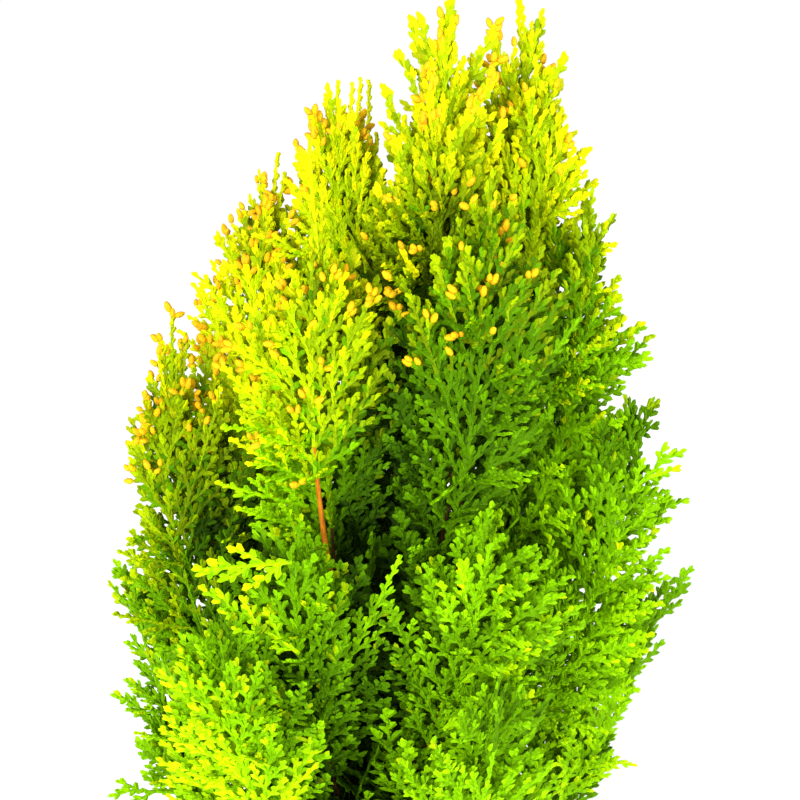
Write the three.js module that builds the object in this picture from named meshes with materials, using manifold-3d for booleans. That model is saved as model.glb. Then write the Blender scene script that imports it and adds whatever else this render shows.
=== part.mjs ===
// A young golden oriental arborvitae, a dwarf conifer with an egg-shaped crown of upright, flat sprays.
// Millimetres, +Z up. The origin is the middle of the flat cut under the stem, at ground level, and the
// side seen from the front faces -Y. The plant is a trunk, its boughs and the plumes of foliage they carry.
import * as THREE from "three";
import { mergeVertices } from "three/addons/utils/BufferGeometryUtils.js";
import Module from "manifold-3d";

const wasm = await Module();
wasm.setup();

// The crown is widest in the middle of its height. Above LEAN_STARTS its axis leans to +X, towards the two
// leaders, and below that it bows a little the other way.
const PLANT_HEIGHT = 290;
const CROWN_RADIUS = 68;
const WIDEST_HEIGHT = 145;
const CROWN_FOOT = 8;
const CROWN_TOP = 294;
const UPPER_FULLNESS = 1.7;
const UPPER_TAPER = 0.88;
const LOWER_FULLNESS = 1.9;
const LOWER_TAPER = 0.8;
const LEAN = 21;
const LEAN_STARTS = 150;
const LEAN_BEND = 2.2;
const LOW_LEAN = -7;

// The trunk tapers from a flared foot to its tip, where the right leader takes over.
const TRUNK_TOP = 232;
const TRUNK_SHIFT = 25;
const TRUNK_BEND = 1.5;
const TRUNK_SWAY = 1.6;
const TRUNK_SWAYS = 2.5;
const TRUNK_RADIUS = 4.8;
const TRUNK_TIP_RADIUS = 0.9;
const FLARE_RADIUS = 2.6;
const FLARE_HEIGHT = 9;
const TRUNK_SIDES = 10;
const TRUNK_STEPS = 16;
const TRUNK_CROWDING = 1.25;

// Boughs, and the stem with a toothed core that each plume grows from. GAP is the room between solids.
const GAP = 0.3;
const BOUGH_SHARE = 0.34;
const BOUGH_TIP_RADIUS = 0.75;
const BOUGH_SIDES = 5;
const BOUGH_STEPS = 3;
const BOUGH_SWEEP = 0.5;
const STEM_TIP_RADIUS = 0.45;
const STEM_BULGE = 0.74;
const STEM_RISE = 0.42;
const CORE_WIDTH = 18;
const CORE_FLATNESS = 0.2;
const CORE_NOTCH = 0.6;
const CORE_BELLY = 0.85;
const CORE_FULLNESS = 0.7;
const CORE_LEAST = 0.5;
const CORE_SIDES = 4;
const CORE_STEPS = 7;
const CORE_FROM = 0.08;
const CORE_TO = 0.96;

// Twigs and blades. Each blade stands for one flat spray of scale-covered branchlets. ROLL_OUT turns two
// twigs of every three out of the fan's plane, and TRIES are the sizes tried where space is tight.
const TWIGS = 12;
const TWIG_FROM = 0.06;
const TWIG_TO = 0.93;
const TWIG_LENGTH = 19;
const TWIG_RADIUS = 0.6;
const TWIG_TIP_RADIUS = 0.35;
const TWIG_ANGLE = 52;
const TWIG_TOP_ANGLE = 32;
const TWIG_RISE = 16;
const ROLL_IN = 25;
const ROLL_OUT = 80;
const LENGTH_JITTER = 0.12;
const BLADE_LENGTH = 29;
const BLADE_WIDTH = 11;
const BLADE_THICKNESS = 1.5;
const BLADE_SIZE_LOW = 1.05;
const BLADE_SIZE_HIGH = 0.8;
const BLADE_FROM = 0.7;
const ROOT_SUNK = 1.6;
const TOP_BLADE_FROM = 0.96;
const TOP_BLADE_SIZE = 0.8;
const CONE_LENGTH = 3.6;
const CONE_RADIUS = 1.3;
const CONE_PLACE = 0.93;
const CONE_EVERY = 4;

// Each plume keeps to the space nearer to its own stem than to any other, inside the crown's outline.
const SPACE_MARGIN = 0.7;
const LIMB_MARGIN = 0.9;
const LOWEST_FOLIAGE = 6;
const FRINGE = 6;
const TRIES = [1, 0.85, 0.7, 0.55];
const STEM_SAMPLES = 14;
const BOUGH_SAMPLES = 24;
const TRUNK_SAMPLE_STEP = 3;

// Tiers of plumes from the ground up. root is the height where the boughs leave the trunk. from and to are
// the heights where a plume's stem starts and ends, and fromShare and toShare are how far out these lie, as
// shares of the crown's radius there. Azimuths are in degrees from the front, and positive to the right.
// turns is how far the fans turn away from facing straight out, in a repeating order. The crest's plumes have
// no boughs: their stems leave the trunk at root.
const TIERS = [
  {
    name: "skirt", count: 6, azimuth: -30, root: 10, turns: [24, -10, 80], seed: 13,
    from: 29, fromShare: 0.75, to: 92, toShare: 0.9,
  },
  {
    name: "lower", count: 6, azimuth: -38, root: 22, turns: [12, 62, -28, 80, 55], seed: 23,
    from: 52, fromShare: 0.45, to: 138, toShare: 0.94,
  },
  {
    name: "middle", count: 7, azimuth: -79, root: 45, turns: [60, 10, -4, 60, 85], seed: 37,
    from: 88, fromShare: 0.36, to: 188, toShare: 0.94,
  },
  {
    name: "upper", count: 6, azimuth: -38, root: 90, turns: [36, 4, 80, 75, 50], seed: 41, cones: true,
    from: 134, fromShare: 0.3, to: 234, toShare: 0.88,
  },
  {
    name: "crest", count: 4, azimuth: -95, root: 164, turns: [80, 5], seed: 59, cones: true,
    to: 258, toShare: 0.8,
  },
];
const LEADERS = [
  { name: "leader_left", root: 158, facing: -10, from: [9, -9, 205], to: [11, -8, 278], seed: 7001 },
  { name: "leader_right", root: TRUNK_TOP, facing: 15, to: [33, 4, 278], seed: 7002 },
];
const ROOT_STAGGER = 3.5;
const AZIMUTH_JITTER = 5;
const HEIGHT_JITTER = 7;
const FACING_JITTER = 14;

const BARK = new THREE.MeshStandardMaterial({ color: 0x7a4a2a, roughness: 0.9, metalness: 0 });
const FOLIAGE = new THREE.MeshStandardMaterial({ color: 0x9ad00e, roughness: 0.6, metalness: 0 });

const radians = THREE.MathUtils.degToRad;
const clamp = THREE.MathUtils.clamp;
const lerp = THREE.MathUtils.lerp;

// A repeatable stream of numbers from 0 to 1.
function seededRandom(seed) {
  let state = (seed * 7919 + 104729) % 2147483647;
  const draw = () => {
    state = (state * 48271) % 2147483647;
    return state / 2147483647;
  };
  draw();
  draw();
  return draw;
}

// The crown's outline: how far it reaches from its own axis at a height, and how far that axis leans to +X.
function crownRadius(height) {
  if (height > WIDEST_HEIGHT) {
    const up = clamp((height - WIDEST_HEIGHT) / (CROWN_TOP - WIDEST_HEIGHT), 0, 1);
    return CROWN_RADIUS * (1 - up ** UPPER_FULLNESS) ** UPPER_TAPER;
  }
  const down = clamp((WIDEST_HEIGHT - height) / (WIDEST_HEIGHT - CROWN_FOOT), 0, 1);
  return CROWN_RADIUS * (1 - down ** LOWER_FULLNESS) ** LOWER_TAPER;
}

function crownLean(height) {
  if (height < LEAN_STARTS) return LOW_LEAN * Math.sin((Math.PI * height) / LEAN_STARTS);
  const up = (height - LEAN_STARTS) / (PLANT_HEIGHT - LEAN_STARTS);
  return LEAN * up ** LEAN_BEND;
}

function crownPoint(azimuth, height, share) {
  const reach = crownRadius(height) * share;
  const turn = radians(azimuth);
  return new THREE.Vector3(crownLean(height) + reach * Math.sin(turn), -reach * Math.cos(turn), height);
}

function trunkPoint(height) {
  const up = height / TRUNK_TOP;
  const sway = TRUNK_SWAY * Math.sin(up * Math.PI * TRUNK_SWAYS);
  return new THREE.Vector3(TRUNK_SHIFT * up ** TRUNK_BEND - sway, sway, height);
}

function trunkRadius(height) {
  const flare = FLARE_RADIUS * Math.max(0, 1 - height / FLARE_HEIGHT) ** 2;
  return lerp(TRUNK_RADIUS, TRUNK_TIP_RADIUS, (height / TRUNK_TOP) ** 0.85) + flare;
}

// A closed tube with its own radius at each share of the curve, made by bending a cylinder.
function taperedTube(curve, radiusAt, sides, steps) {
  const geometry = new THREE.CylinderGeometry(1, 1, 1, sides, steps);
  const frames = curve.computeFrenetFrames(steps, false);
  const position = geometry.getAttribute("position");
  for (let i = 0; i < position.count; i++) {
    const step = Math.round((position.getY(i) + 0.5) * steps);
    const share = step / steps;
    const across = frames.normals[step];
    const beside = frames.binormals[step];
    const radius = radiusAt(share);
    const point = curve.getPoint(share);
    point.addScaledVector(across, position.getX(i) * radius);
    point.addScaledVector(beside, -position.getZ(i) * radius);
    position.setXYZ(i, point.x, point.y, point.z);
  }
  return geometry;
}

// A toothed blade along +X, widest across Y and thickest near its root: a low sphere whose equator is moved
// to an outline with three alternate teeth and a tip.
const BLADE_OUTLINE = [
  [1, 0],
  [0.64, 0.24],
  [0.6, 0.9],
  [0, 0],
  [0.36, -0.95],
  [0.5, -0.28],
  [0.8, -0.6],
];
const BLADE_CENTRE = 0.45;

function bladeGeometry(length, width, thickness) {
  const count = BLADE_OUTLINE.length;
  const geometry = new THREE.SphereGeometry(1, count, 2);
  const position = geometry.getAttribute("position");
  for (let i = 0; i < position.count; i++) {
    const row = Math.floor(i / (count + 1));
    const [along, aside] = row === 1 ? BLADE_OUTLINE[(i % (count + 1)) % count] : [BLADE_CENTRE, 0];
    position.setXYZ(i, along * length, aside * width, ((1 - row) * thickness) / 2);
  }
  return geometry;
}

function solidOf(geometry) {
  const bare = new THREE.BufferGeometry().setAttribute("position", geometry.getAttribute("position"));
  bare.setIndex(geometry.getIndex());
  const merged = mergeVertices(bare, 1e-4);
  return new wasm.Manifold(
    new wasm.Mesh({
      numProp: 3,
      vertProperties: new Float32Array(merged.getAttribute("position").array),
      triVerts: new Uint32Array(merged.getIndex().array),
    }),
  );
}

function meshOf(name, solid, material) {
  const made = solid.getMesh();
  const geometry = new THREE.BufferGeometry();
  geometry.setAttribute("position", new THREE.BufferAttribute(made.vertProperties, 3));
  geometry.setIndex(new THREE.BufferAttribute(made.triVerts, 1));
  geometry.computeVertexNormals();
  const mesh = new THREE.Mesh(geometry, material);
  mesh.name = name;
  return mesh;
}

// The largest piece, without the loose scraps and sealed hollows that fusing can leave.
function largestOf(solid) {
  return solid.decompose().reduce((best, piece) => (piece.volume() > best.volume() ? piece : best));
}

// The plan of every plume: what holds it, where its stem starts and ends, which way its fan faces, and the
// seed of its twigs.
function planPlumes() {
  const plans = [];
  for (const tier of TIERS) {
    const random = seededRandom(tier.seed);
    for (let i = 0; i < tier.count; i++) {
      const azimuth = tier.azimuth + (360 / tier.count) * i + AZIMUTH_JITTER * (2 * random() - 1);
      const rise = HEIGHT_JITTER * (2 * random() - 1);
      const root = tier.root + ROOT_STAGGER * ((i * 3) % tier.count);
      plans.push({
        name: `${tier.name}_${i + 1}`,
        holder: tier.fromShare ? "bough" : "trunk",
        root,
        from: tier.fromShare ? crownPoint(azimuth, tier.from + rise / 2, tier.fromShare) : trunkPoint(root),
        to: crownPoint(azimuth, tier.to + rise, tier.toShare),
        facing: azimuth + tier.turns[i % tier.turns.length] + FACING_JITTER * (2 * random() - 1),
        cones: Boolean(tier.cones),
        bends: true,
        seed: tier.seed * 100 + i,
      });
    }
  }
  for (const leader of LEADERS) {
    const holder = leader.from ? "bough" : "tip";
    const from = leader.from ? new THREE.Vector3(...leader.from) : trunkPoint(leader.root);
    plans.push({ ...leader, holder, from, to: new THREE.Vector3(...leader.to), cones: true, bends: false });
  }
  return plans;
}

// A stem leaves its bough outwards and then climbs, as the sprays of this plant do. A leader runs straight.
function stemCurve(plan) {
  const knee = new THREE.Vector3().lerpVectors(plan.from, plan.to, plan.bends ? STEM_BULGE : 0.5);
  if (plan.bends) knee.z = lerp(plan.from.z, plan.to.z, STEM_RISE);
  return new THREE.QuadraticBezierCurve3(plan.from, knee, plan.to);
}

function boughCurve(plan) {
  const root = trunkPoint(plan.root);
  const sweep = root.distanceTo(plan.from) * BOUGH_SWEEP;
  const knee = plan.from.clone().addScaledVector(plan.stem.getTangent(0), -sweep);
  return new THREE.QuadraticBezierCurve3(root, knee, plan.from);
}

function boughRadius(plan, share) {
  return lerp(trunkRadius(plan.root) * BOUGH_SHARE, BOUGH_TIP_RADIUS, share);
}

// The trunk, with its radius grown by spare and its steps closer together towards the flare.
function trunkSolid(spare) {
  const geometry = new THREE.CylinderGeometry(1, 1, 1, TRUNK_SIDES, TRUNK_STEPS);
  const position = geometry.getAttribute("position");
  for (let i = 0; i < position.count; i++) {
    const height = TRUNK_TOP * (position.getY(i) + 0.5) ** TRUNK_CROWDING;
    const middle = trunkPoint(height);
    const radius = trunkRadius(height) + spare;
    position.setXYZ(i, middle.x + position.getX(i) * radius, middle.y - position.getZ(i) * radius, height);
  }
  return solidOf(geometry);
}

function boughSolid(plan, spare) {
  const radiusAt = (share) => boughRadius(plan, share) + spare;
  return solidOf(taperedTube(plan.bough, radiusAt, BOUGH_SIDES, BOUGH_STEPS));
}

// Every plume's stem and bough, and sample points along the limbs that foliage keeps clear of.
const plans = planPlumes();
const limbs = [];
for (let height = 0; height <= TRUNK_TOP; height += TRUNK_SAMPLE_STEP) {
  limbs.push({ point: trunkPoint(height), radius: trunkRadius(height) });
}
for (const plan of plans) {
  plan.stem = stemCurve(plan);
  plan.samples = Array.from({ length: STEM_SAMPLES + 1 }, (_, i) => plan.stem.getPoint(i / STEM_SAMPLES));
  if (plan.holder !== "bough") continue;
  plan.bough = boughCurve(plan);
  for (let i = 0; i <= BOUGH_SAMPLES; i++) {
    const share = i / BOUGH_SAMPLES;
    limbs.push({ point: plan.bough.getPoint(share), radius: boughRadius(plan, share) });
  }
}

function distanceToStem(point, plan) {
  let least = Infinity;
  for (const sample of plan.samples) least = Math.min(least, point.distanceToSquared(sample));
  return Math.sqrt(least);
}

// True if a point lies in the plume's own share of the crown, clear of every limb.
function inOwnSpace(point, plan) {
  if (point.z < LOWEST_FOLIAGE) return false;
  if (Math.hypot(point.x - crownLean(point.z), point.y) > crownRadius(point.z) + FRINGE) return false;
  const own = distanceToStem(point, plan);
  for (const other of plans) {
    if (other !== plan && distanceToStem(point, other) < own + 2 * SPACE_MARGIN) return false;
  }
  return limbs.every((limb) => point.distanceTo(limb.point) > limb.radius + LIMB_MARGIN);
}

// A blade as large as its plume's space allows, or null where even a small one would leave it. It lies along
// one direction, flat to another, and every second one is turned over.
function fitBlade(plan, root, along, facing, size, turnedOver) {
  const flat = facing.clone().addScaledVector(along, -facing.dot(along)).normalize();
  const aside = new THREE.Vector3().crossVectors(flat, along);
  if (turnedOver) {
    flat.negate();
    aside.negate();
  }
  const start = root.clone().addScaledVector(along, -ROOT_SUNK);
  const matrix = new THREE.Matrix4().makeBasis(along, aside, flat).setPosition(start);
  for (const part of TRIES) {
    const length = BLADE_LENGTH * size * part;
    const width = BLADE_WIDTH * size * part;
    const onOutline = (x, y) => new THREE.Vector3(x * length, y * width, 0).applyMatrix4(matrix);
    const tests = BLADE_OUTLINE.filter(([x]) => x > 0).map(([x, y]) => onOutline(x, y));
    tests.push(onOutline(BLADE_CENTRE, 0));
    if (!tests.every((point) => inOwnSpace(point, plan))) continue;
    const geometry = bladeGeometry(length, width, BLADE_THICKNESS * Math.sqrt(part)).applyMatrix4(matrix);
    return { geometry, start, along, length };
  }
  return null;
}

// An egg-shaped pollen cone near the tip of a blade.
function pollenCone(blade) {
  const geometry = new THREE.OctahedronGeometry(1).scale(CONE_RADIUS, CONE_LENGTH / 2, CONE_RADIUS);
  const turn = new THREE.Quaternion().setFromUnitVectors(new THREE.Vector3(0, 1, 0), blade.along);
  const middle = blade.start.clone().addScaledVector(blade.along, blade.length * CONE_PLACE);
  return geometry.applyQuaternion(turn).translate(middle.x, middle.y, middle.z);
}

// The fan's own directions at a place on the stem: up along it, flat out of the fan and beside in its plane.
function fanDirections(plan, share) {
  const up = plan.stem.getTangent(share);
  const outwards = new THREE.Vector3(Math.sin(radians(plan.facing)), -Math.cos(radians(plan.facing)), 0);
  const flat = outwards.addScaledVector(up, -outwards.dot(up)).normalize();
  return { up, flat, beside: new THREE.Vector3().crossVectors(up, flat) };
}

// How wide the core is at a share of the stem, and how far it can go one way inside the plume's space.
function coreWidth(share) {
  const inside = clamp((share - CORE_FROM) / (CORE_TO - CORE_FROM), 0, 1);
  return CORE_WIDTH * Math.sin(Math.PI * inside ** CORE_BELLY) ** CORE_FULLNESS;
}

function roomFor(plan, middle, aim, width) {
  let room = width;
  while (room > CORE_LEAST && !inOwnSpace(middle.clone().addScaledVector(aim, room), plan)) room *= 0.8;
  return room > CORE_LEAST ? room : 0;
}

// The stem with the smaller, toothed core of the fan round it. Its teeth alternate from side to side.
function coreGeometry(plan) {
  const geometry = new THREE.CylinderGeometry(1, 1, 1, CORE_SIDES, CORE_STEPS);
  const position = geometry.getAttribute("position");
  const first = plan.holder === "trunk" ? 0 : GAP / (2 * plan.stem.v1.distanceTo(plan.from));
  for (let i = 0; i < position.count; i++) {
    const step = Math.round((position.getY(i) + 0.5) * CORE_STEPS);
    const share = lerp(first, 1, step / CORE_STEPS);
    const { flat, beside } = fanDirections(plan, share);
    const side = Math.round(-position.getZ(i));
    const onTooth = (step % 2 === 0) === side > 0;
    const reach = side ? (onTooth ? 1 : CORE_NOTCH) : CORE_FLATNESS;
    const aim = beside.multiplyScalar(side).addScaledVector(flat, Math.round(position.getX(i))).normalize();
    const middle = plan.stem.getPoint(share);
    const stemRadius = lerp(BOUGH_TIP_RADIUS, STEM_TIP_RADIUS, share);
    middle.addScaledVector(aim, stemRadius);
    middle.addScaledVector(aim, roomFor(plan, middle, aim, coreWidth(share) * reach));
    position.setXYZ(i, middle.x, middle.y, middle.z);
  }
  return geometry;
}

// How long the twigs are along a plume: longest a third of the way up.
function plumeProfile(share) {
  return 0.45 + 0.75 * Math.sin(Math.PI * (0.18 + 0.78 * share));
}

// A twig leaves the stem at one angle and bends up towards the light. roll turns it about the stem.
function growTwig(plan, share, roll, length) {
  const place = plan.stem.getPoint(share);
  const { up, flat, beside } = fanDirections(plan, share);
  const aside = beside.multiplyScalar(Math.cos(roll)).addScaledVector(flat, Math.sin(roll));
  const leave = radians(lerp(TWIG_ANGLE, TWIG_TOP_ANGLE, share));
  const lift = leave - radians(TWIG_RISE);
  const knee = place.clone().addScaledVector(up, (Math.cos(leave) * length) / 2);
  knee.addScaledVector(aside, (Math.sin(leave) * length) / 2);
  const tip = knee.clone().addScaledVector(up, (Math.cos(lift) * length) / 2);
  tip.addScaledVector(aside, (Math.sin(lift) * length) / 2);
  const curve = new THREE.QuadraticBezierCurve3(place, knee, tip);
  return { curve, facing: new THREE.Vector3().crossVectors(up, aside).normalize() };
}

// The kth twig of a plume with the blade at its end, and with a pollen cone on some.
function twigPieces(plan, k) {
  const random = seededRandom(plan.seed * 31 + k);
  const share = lerp(TWIG_FROM, TWIG_TO, (k + 0.3 + 0.4 * random()) / TWIGS);
  const turn = k % 3 === 0 ? 0 : ROLL_OUT * (k % 4 < 2 ? 1 : -1);
  const roll = radians((k % 2) * 180 + turn + ROLL_IN * (2 * random() - 1));
  const length = TWIG_LENGTH * plumeProfile(share) * (1 + LENGTH_JITTER * (2 * random() - 1));
  const size = lerp(BLADE_SIZE_LOW, BLADE_SIZE_HIGH, share);
  for (const part of TRIES) {
    const { curve, facing } = growTwig(plan, share, roll, length * part);
    const blade = fitBlade(plan, curve.getPoint(BLADE_FROM), curve.getTangent(1), facing, size, k % 2 === 1);
    if (!blade) continue;
    const twig = taperedTube(curve, (along) => lerp(TWIG_RADIUS, TWIG_TIP_RADIUS, along), 3, 1);
    const bearsCone = plan.cones && k % CONE_EVERY === 1;
    return bearsCone ? [blade.geometry, twig, pollenCone(blade)] : [blade.geometry, twig];
  }
  return [];
}

function plumeSolid(plan, fatLimbs) {
  const pieces = [coreGeometry(plan)];
  for (let k = 0; k < TWIGS; k++) pieces.push(...twigPieces(plan, k));
  const { up, flat } = fanDirections(plan, 1);
  const top = fitBlade(plan, plan.stem.getPoint(TOP_BLADE_FROM), up, flat, TOP_BLADE_SIZE, false);
  if (top) pieces.push(top.geometry);
  return largestOf(wasm.Manifold.union(pieces.map(solidOf)).subtract(fatLimbs));
}

// Solids a gap's width fatter than the limbs cut the plumes clear of them, and the boughs clear of the trunk.
const fatTrunk = trunkSolid(GAP);
const withBoughs = plans.filter((plan) => plan.bough);
const fatLimbs = wasm.Manifold.union([fatTrunk, ...withBoughs.map((plan) => boughSolid(plan, GAP))]);

const plant = new THREE.Group();
plant.name = "aurea_nana_arborvitae";
plant.add(meshOf("trunk", trunkSolid(0), BARK));
for (const plan of withBoughs) {
  plant.add(meshOf(`bough_${plan.name}`, largestOf(boughSolid(plan, 0).subtract(fatTrunk)), BARK));
}
for (const plan of plans) {
  plant.add(meshOf(`foliage_${plan.name}`, plumeSolid(plan, fatLimbs), FOLIAGE));
}

export default plant;
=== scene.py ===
# A young golden oriental arborvitae: bark, stems, flat sprays of scale leaves and pollen cones, grown over
# the plant's frame. Growth is worked out in millimetres with +Z up and the front facing -Y, by the rule
# that the frame's own foliage follows, and each mesh is made in metres.
import math
from dataclasses import dataclass
from functools import lru_cache

import bmesh
import bpy
import numpy as np
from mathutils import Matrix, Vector


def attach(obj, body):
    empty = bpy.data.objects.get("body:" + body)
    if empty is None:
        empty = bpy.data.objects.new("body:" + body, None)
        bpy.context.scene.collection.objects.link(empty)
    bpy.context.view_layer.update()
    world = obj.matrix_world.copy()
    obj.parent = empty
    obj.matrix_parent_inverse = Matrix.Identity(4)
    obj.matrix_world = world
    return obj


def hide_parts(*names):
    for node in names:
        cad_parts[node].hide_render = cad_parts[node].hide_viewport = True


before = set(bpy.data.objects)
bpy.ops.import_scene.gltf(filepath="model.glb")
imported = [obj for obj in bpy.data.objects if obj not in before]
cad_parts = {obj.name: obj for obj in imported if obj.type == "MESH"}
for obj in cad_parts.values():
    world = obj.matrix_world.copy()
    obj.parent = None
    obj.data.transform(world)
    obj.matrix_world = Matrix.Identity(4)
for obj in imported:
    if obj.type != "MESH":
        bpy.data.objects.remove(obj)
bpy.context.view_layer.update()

bl_info = {
    "name": "Golden Arborvitae",
    "version": (1, 0, 0),
    "blender": (4, 5, 0),
    "location": "View3D > Sidebar > Arborvitae",
    "description": "Grows the bark, stems, sprays and pollen cones of a young golden oriental arborvitae",
    "category": "Add Mesh",
}

METRES = 0.001
BODY = "root"

# The crown: how high and wide it is, where it is widest, and how its axis leans.
PLANT_HEIGHT = 290
CROWN_RADIUS = 68
WIDEST_HEIGHT = 145
CROWN_FOOT = 8
CROWN_TOP = 294
UPPER_FULLNESS = 1.7
UPPER_TAPER = 0.88
LOWER_FULLNESS = 1.9
LOWER_TAPER = 0.8
LEAN = 21
LEAN_STARTS = 150
LEAN_BEND = 2.2
LOW_LEAN = -7

# The trunk, from its flared foot to its tip.
TRUNK_TOP = 232
TRUNK_SHIFT = 25
TRUNK_BEND = 1.5
TRUNK_SWAY = 1.6
TRUNK_SWAYS = 2.5
TRUNK_RADIUS = 4.8
TRUNK_TIP_RADIUS = 0.9
TRUNK_TAPER = 0.85
FLARE_RADIUS = 2.6
FLARE_HEIGHT = 9

# Boughs, and the stem that each plume of foliage grows from.
BOUGH_SHARE = 0.34
BOUGH_TIP_RADIUS = 0.75
BOUGH_SWEEP = 0.5
STEM_TIP_RADIUS = 0.45
STEM_BULGE = 0.74
STEM_RISE = 0.42
FAN_WIDTH = 18
FAN_BELLY = 0.85
FAN_FULLNESS = 0.7
FAN_FROM = 0.08
FAN_TO = 0.96

# Twigs and the flat sprays at their ends.
TWIGS = 12
TWIG_FROM = 0.06
TWIG_TO = 0.93
TWIG_LENGTH = 19
TWIG_ANGLE = 52
TWIG_TOP_ANGLE = 32
TWIG_RISE = 16
ROLL_IN = 25
ROLL_OUT = 80
LENGTH_JITTER = 0.12
PROFILE_FOOT = 0.45
PROFILE_SWELL = 0.75
PROFILE_FROM = 0.18
PROFILE_OVER = 0.78
SPRAY_LENGTH = 29
SPRAY_WIDTH = 11
SPRAY_SIZE_LOW = 1.05
SPRAY_SIZE_HIGH = 0.8
SPRAY_FROM = 0.7
ROOT_SUNK = 1.6
TOP_SPRAY_FROM = 0.96
TOP_SPRAY_SIZE = 0.8

# Each plume keeps to the space nearer to its own stem than to any other, inside the crown's outline.
SPACE_MARGIN = 0.7
LIMB_MARGIN = 0.9
LOWEST_FOLIAGE = 6
FRINGE = 6
TRIES = (1, 0.85, 0.7, 0.55)
STEM_SAMPLES = 14
BOUGH_SAMPLES = 24
TRUNK_SAMPLE_STEP = 3

# Tiers of plumes from the ground up: count, first azimuth, height of the boughs' roots, turns of the fans,
# seed, then the heights where the stems start and end and how far out these lie. The crest's plumes have no
# boughs, so they have no starting height or share.
TIERS = {
    "skirt": (6, -30, 10, (24, -10, 80), 13, 29, 0.75, 92, 0.9),
    "lower": (6, -38, 22, (12, 62, -28, 80, 55), 23, 52, 0.45, 138, 0.94),
    "middle": (7, -79, 45, (60, 10, -4, 60, 85), 37, 88, 0.36, 188, 0.94),
    "upper": (6, -38, 90, (36, 4, 80, 75, 50), 41, 134, 0.3, 234, 0.88),
    "crest": (4, -95, 164, (80, 5), 59, None, None, 258, 0.8),
}
LEADERS = (
    ("leader_left", 158, -10, (9, -9, 205), (11, -8, 278), 7001),
    ("leader_right", TRUNK_TOP, 15, None, (33, 4, 278), 7002),
)
ROOT_STAGGER = 3.5
AZIMUTH_JITTER = 5
HEIGHT_JITTER = 7
FACING_JITTER = 14

# Twigs past the frame's own: how many there are in all, how far each dozen of them is shifted along the
# stem, how far each one strays, and how far they may reach into the neighbours' space. Then how much the
# sprays turn to their fan's plane and the fans to the front, and the outward Y below which a plume is one
# of the front.
ALL_TWIGS = 27
TWIG_SETS = (0, 0.5, 0.25)
TWIG_PLACE = 0.3
TWIG_STRAY = 0.4
SPARE = 4
TURN_TO_FAN = 2.0
TURN_TO_FRONT = 1.6
IN_FRONT = 0.3

# Side branches of a spray: how far apart they are where the leaves are USUAL_SPACING apart, their angle at
# its foot and its tip, where the first and last one stand, and the shortest branch and spray worth growing.
BRANCH_SPACING = 4.3
USUAL_SPACING = 1.5
NARROW_STEP = 0.8
STEP_VARIES = (0.85, 1.15)
BRANCH_ANGLE = 46
BRANCH_TOP_ANGLE = 28
BRANCH_JITTER = 4
BRANCH_LENGTHS = (0.8, 1.05)
BRANCH_WOBBLE = 0.05
FIRST_BRANCH = 2.2
LAST_BRANCH = 0.9
BRANCH_LEAST = 3.2
SPRAY_LEAST = 10
SPRAY_BEND = 0.1
NARROW_SHARE = 0.3
SHORTER = 0.85
SEARCH_WIDTH = 1.4
SEARCH_STEPS = 24
OUTLINE_OVER = 1.2
TIP_OVER = 2

# The shoot at a spray's tip: where it starts, the way it heads and its share of the spray's length.
TIP_FROM = 0.6
TIP_HEADING = 0.8
TIP_SHOOT = 0.58
TIP_SHORTER = 0.9
TIP_RISE = 0.55

# Short branches along a twig, below its spray.
TWIG_FIRST = 4.0
TWIG_STEP = 3.4
TWIG_JITTER = 6
TWIG_BRANCHES = (5, 8)
TWIG_WOBBLE = 0.1

# Leaves on a branch: their angle at its foot and its tip, where they stand, how their length and width
# change towards its tip, and how much all this varies.
LEAF_ANGLE = 43
LEAF_TOP_ANGLE = 32
ANGLES_VARY = (0.88, 1.12)
FIRST_LEAF = 0.6
PAST_LEAVES = 0.3
LEAF_STAGGER = 0.2
LEAF_TILT = 0.05
LEAF_SCATTER = 0.06
LENGTH_AT_FOOT = 1.2
LENGTH_LOST = 0.55
LENGTHS_VARY = (0.8, 1.2)
LEAST_AT_FOOT = 0.6
TIP_LEAF_AT = 0.88
TIP_LEAF_LENGTH = 0.95
WIDTH_AT_FOOT = 1.05
WIDTH_LOST = 0.15
WIDTHS_VARY = (0.9, 1.1)
STALK_WIDTH = (0.6, 0.42)
STALK_THICKNESS = (0.34, 0.26)

# Leaves pressed close to the thicker stalks.
SHEATH_SPACING = 1.1
SHEATH_STAGGER = (0.2, 0.8)
SHEATH_ANGLES = (12, 30)
SHEATH_LENGTHS = (0.7, 1)
SHEATH_WIDTH = 0.9
SHEATH_SCATTER = 0.1

# Other kinds of leafing, as shares of the usual length, width and spacing: coarse inside the crown, slim on
# the slender shoots, and antler-like on the shoots at its sides.
COARSE = (1.6, 1.6, 1.6)
SLIM = (0.78, 0.92, 0.9)
ANTLER = (0.85, 0.95, 1.2)
SHOOT_ANGLE = 27
COARSE_DEPTH = 19
COARSE_BEHIND = -6
SPRAY_MIDDLE = 0.6

# Two flat fans on each plume, one on its stem and one that stands out in front of it: how far apart their
# sprays are and how wide as a share of their length, how far the second stands out, how far in front of the
# stem twigs may still stand, and how much further a fan reaches on its right than on its left.
FAN_SPACING = 3.9
FAN_NARROW = 0.2
FAN_SHIFT = {"skirt": 7, "lower": 9, "middle": 9, "upper": 9, "crest": 6, "leader": 2}
FAN_LIFTS_OVER = 0.3
FAN_CLOSES = 0.5
FAN_CLEAR = 7
FAN_ANGLE = 50
FAN_TOP_ANGLE = 26
FAN_JITTER = 7
FAN_LEAN = 20
FAN_REACHES = (0.72, 1.16)
FAN_OVER = 2
FAN_WOBBLE = 0.08
FAN_PULL = 0.25
FAN_ENDS = 0.97
ROOM_UP_TO = 0.6
ROOM_STEP = 0.04
ROOM_AHEAD = 0.1
AXIS_LEAD = 0.02
AXIS_STOPS = 8
TURN_OUTWARDS = 1.2
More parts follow.
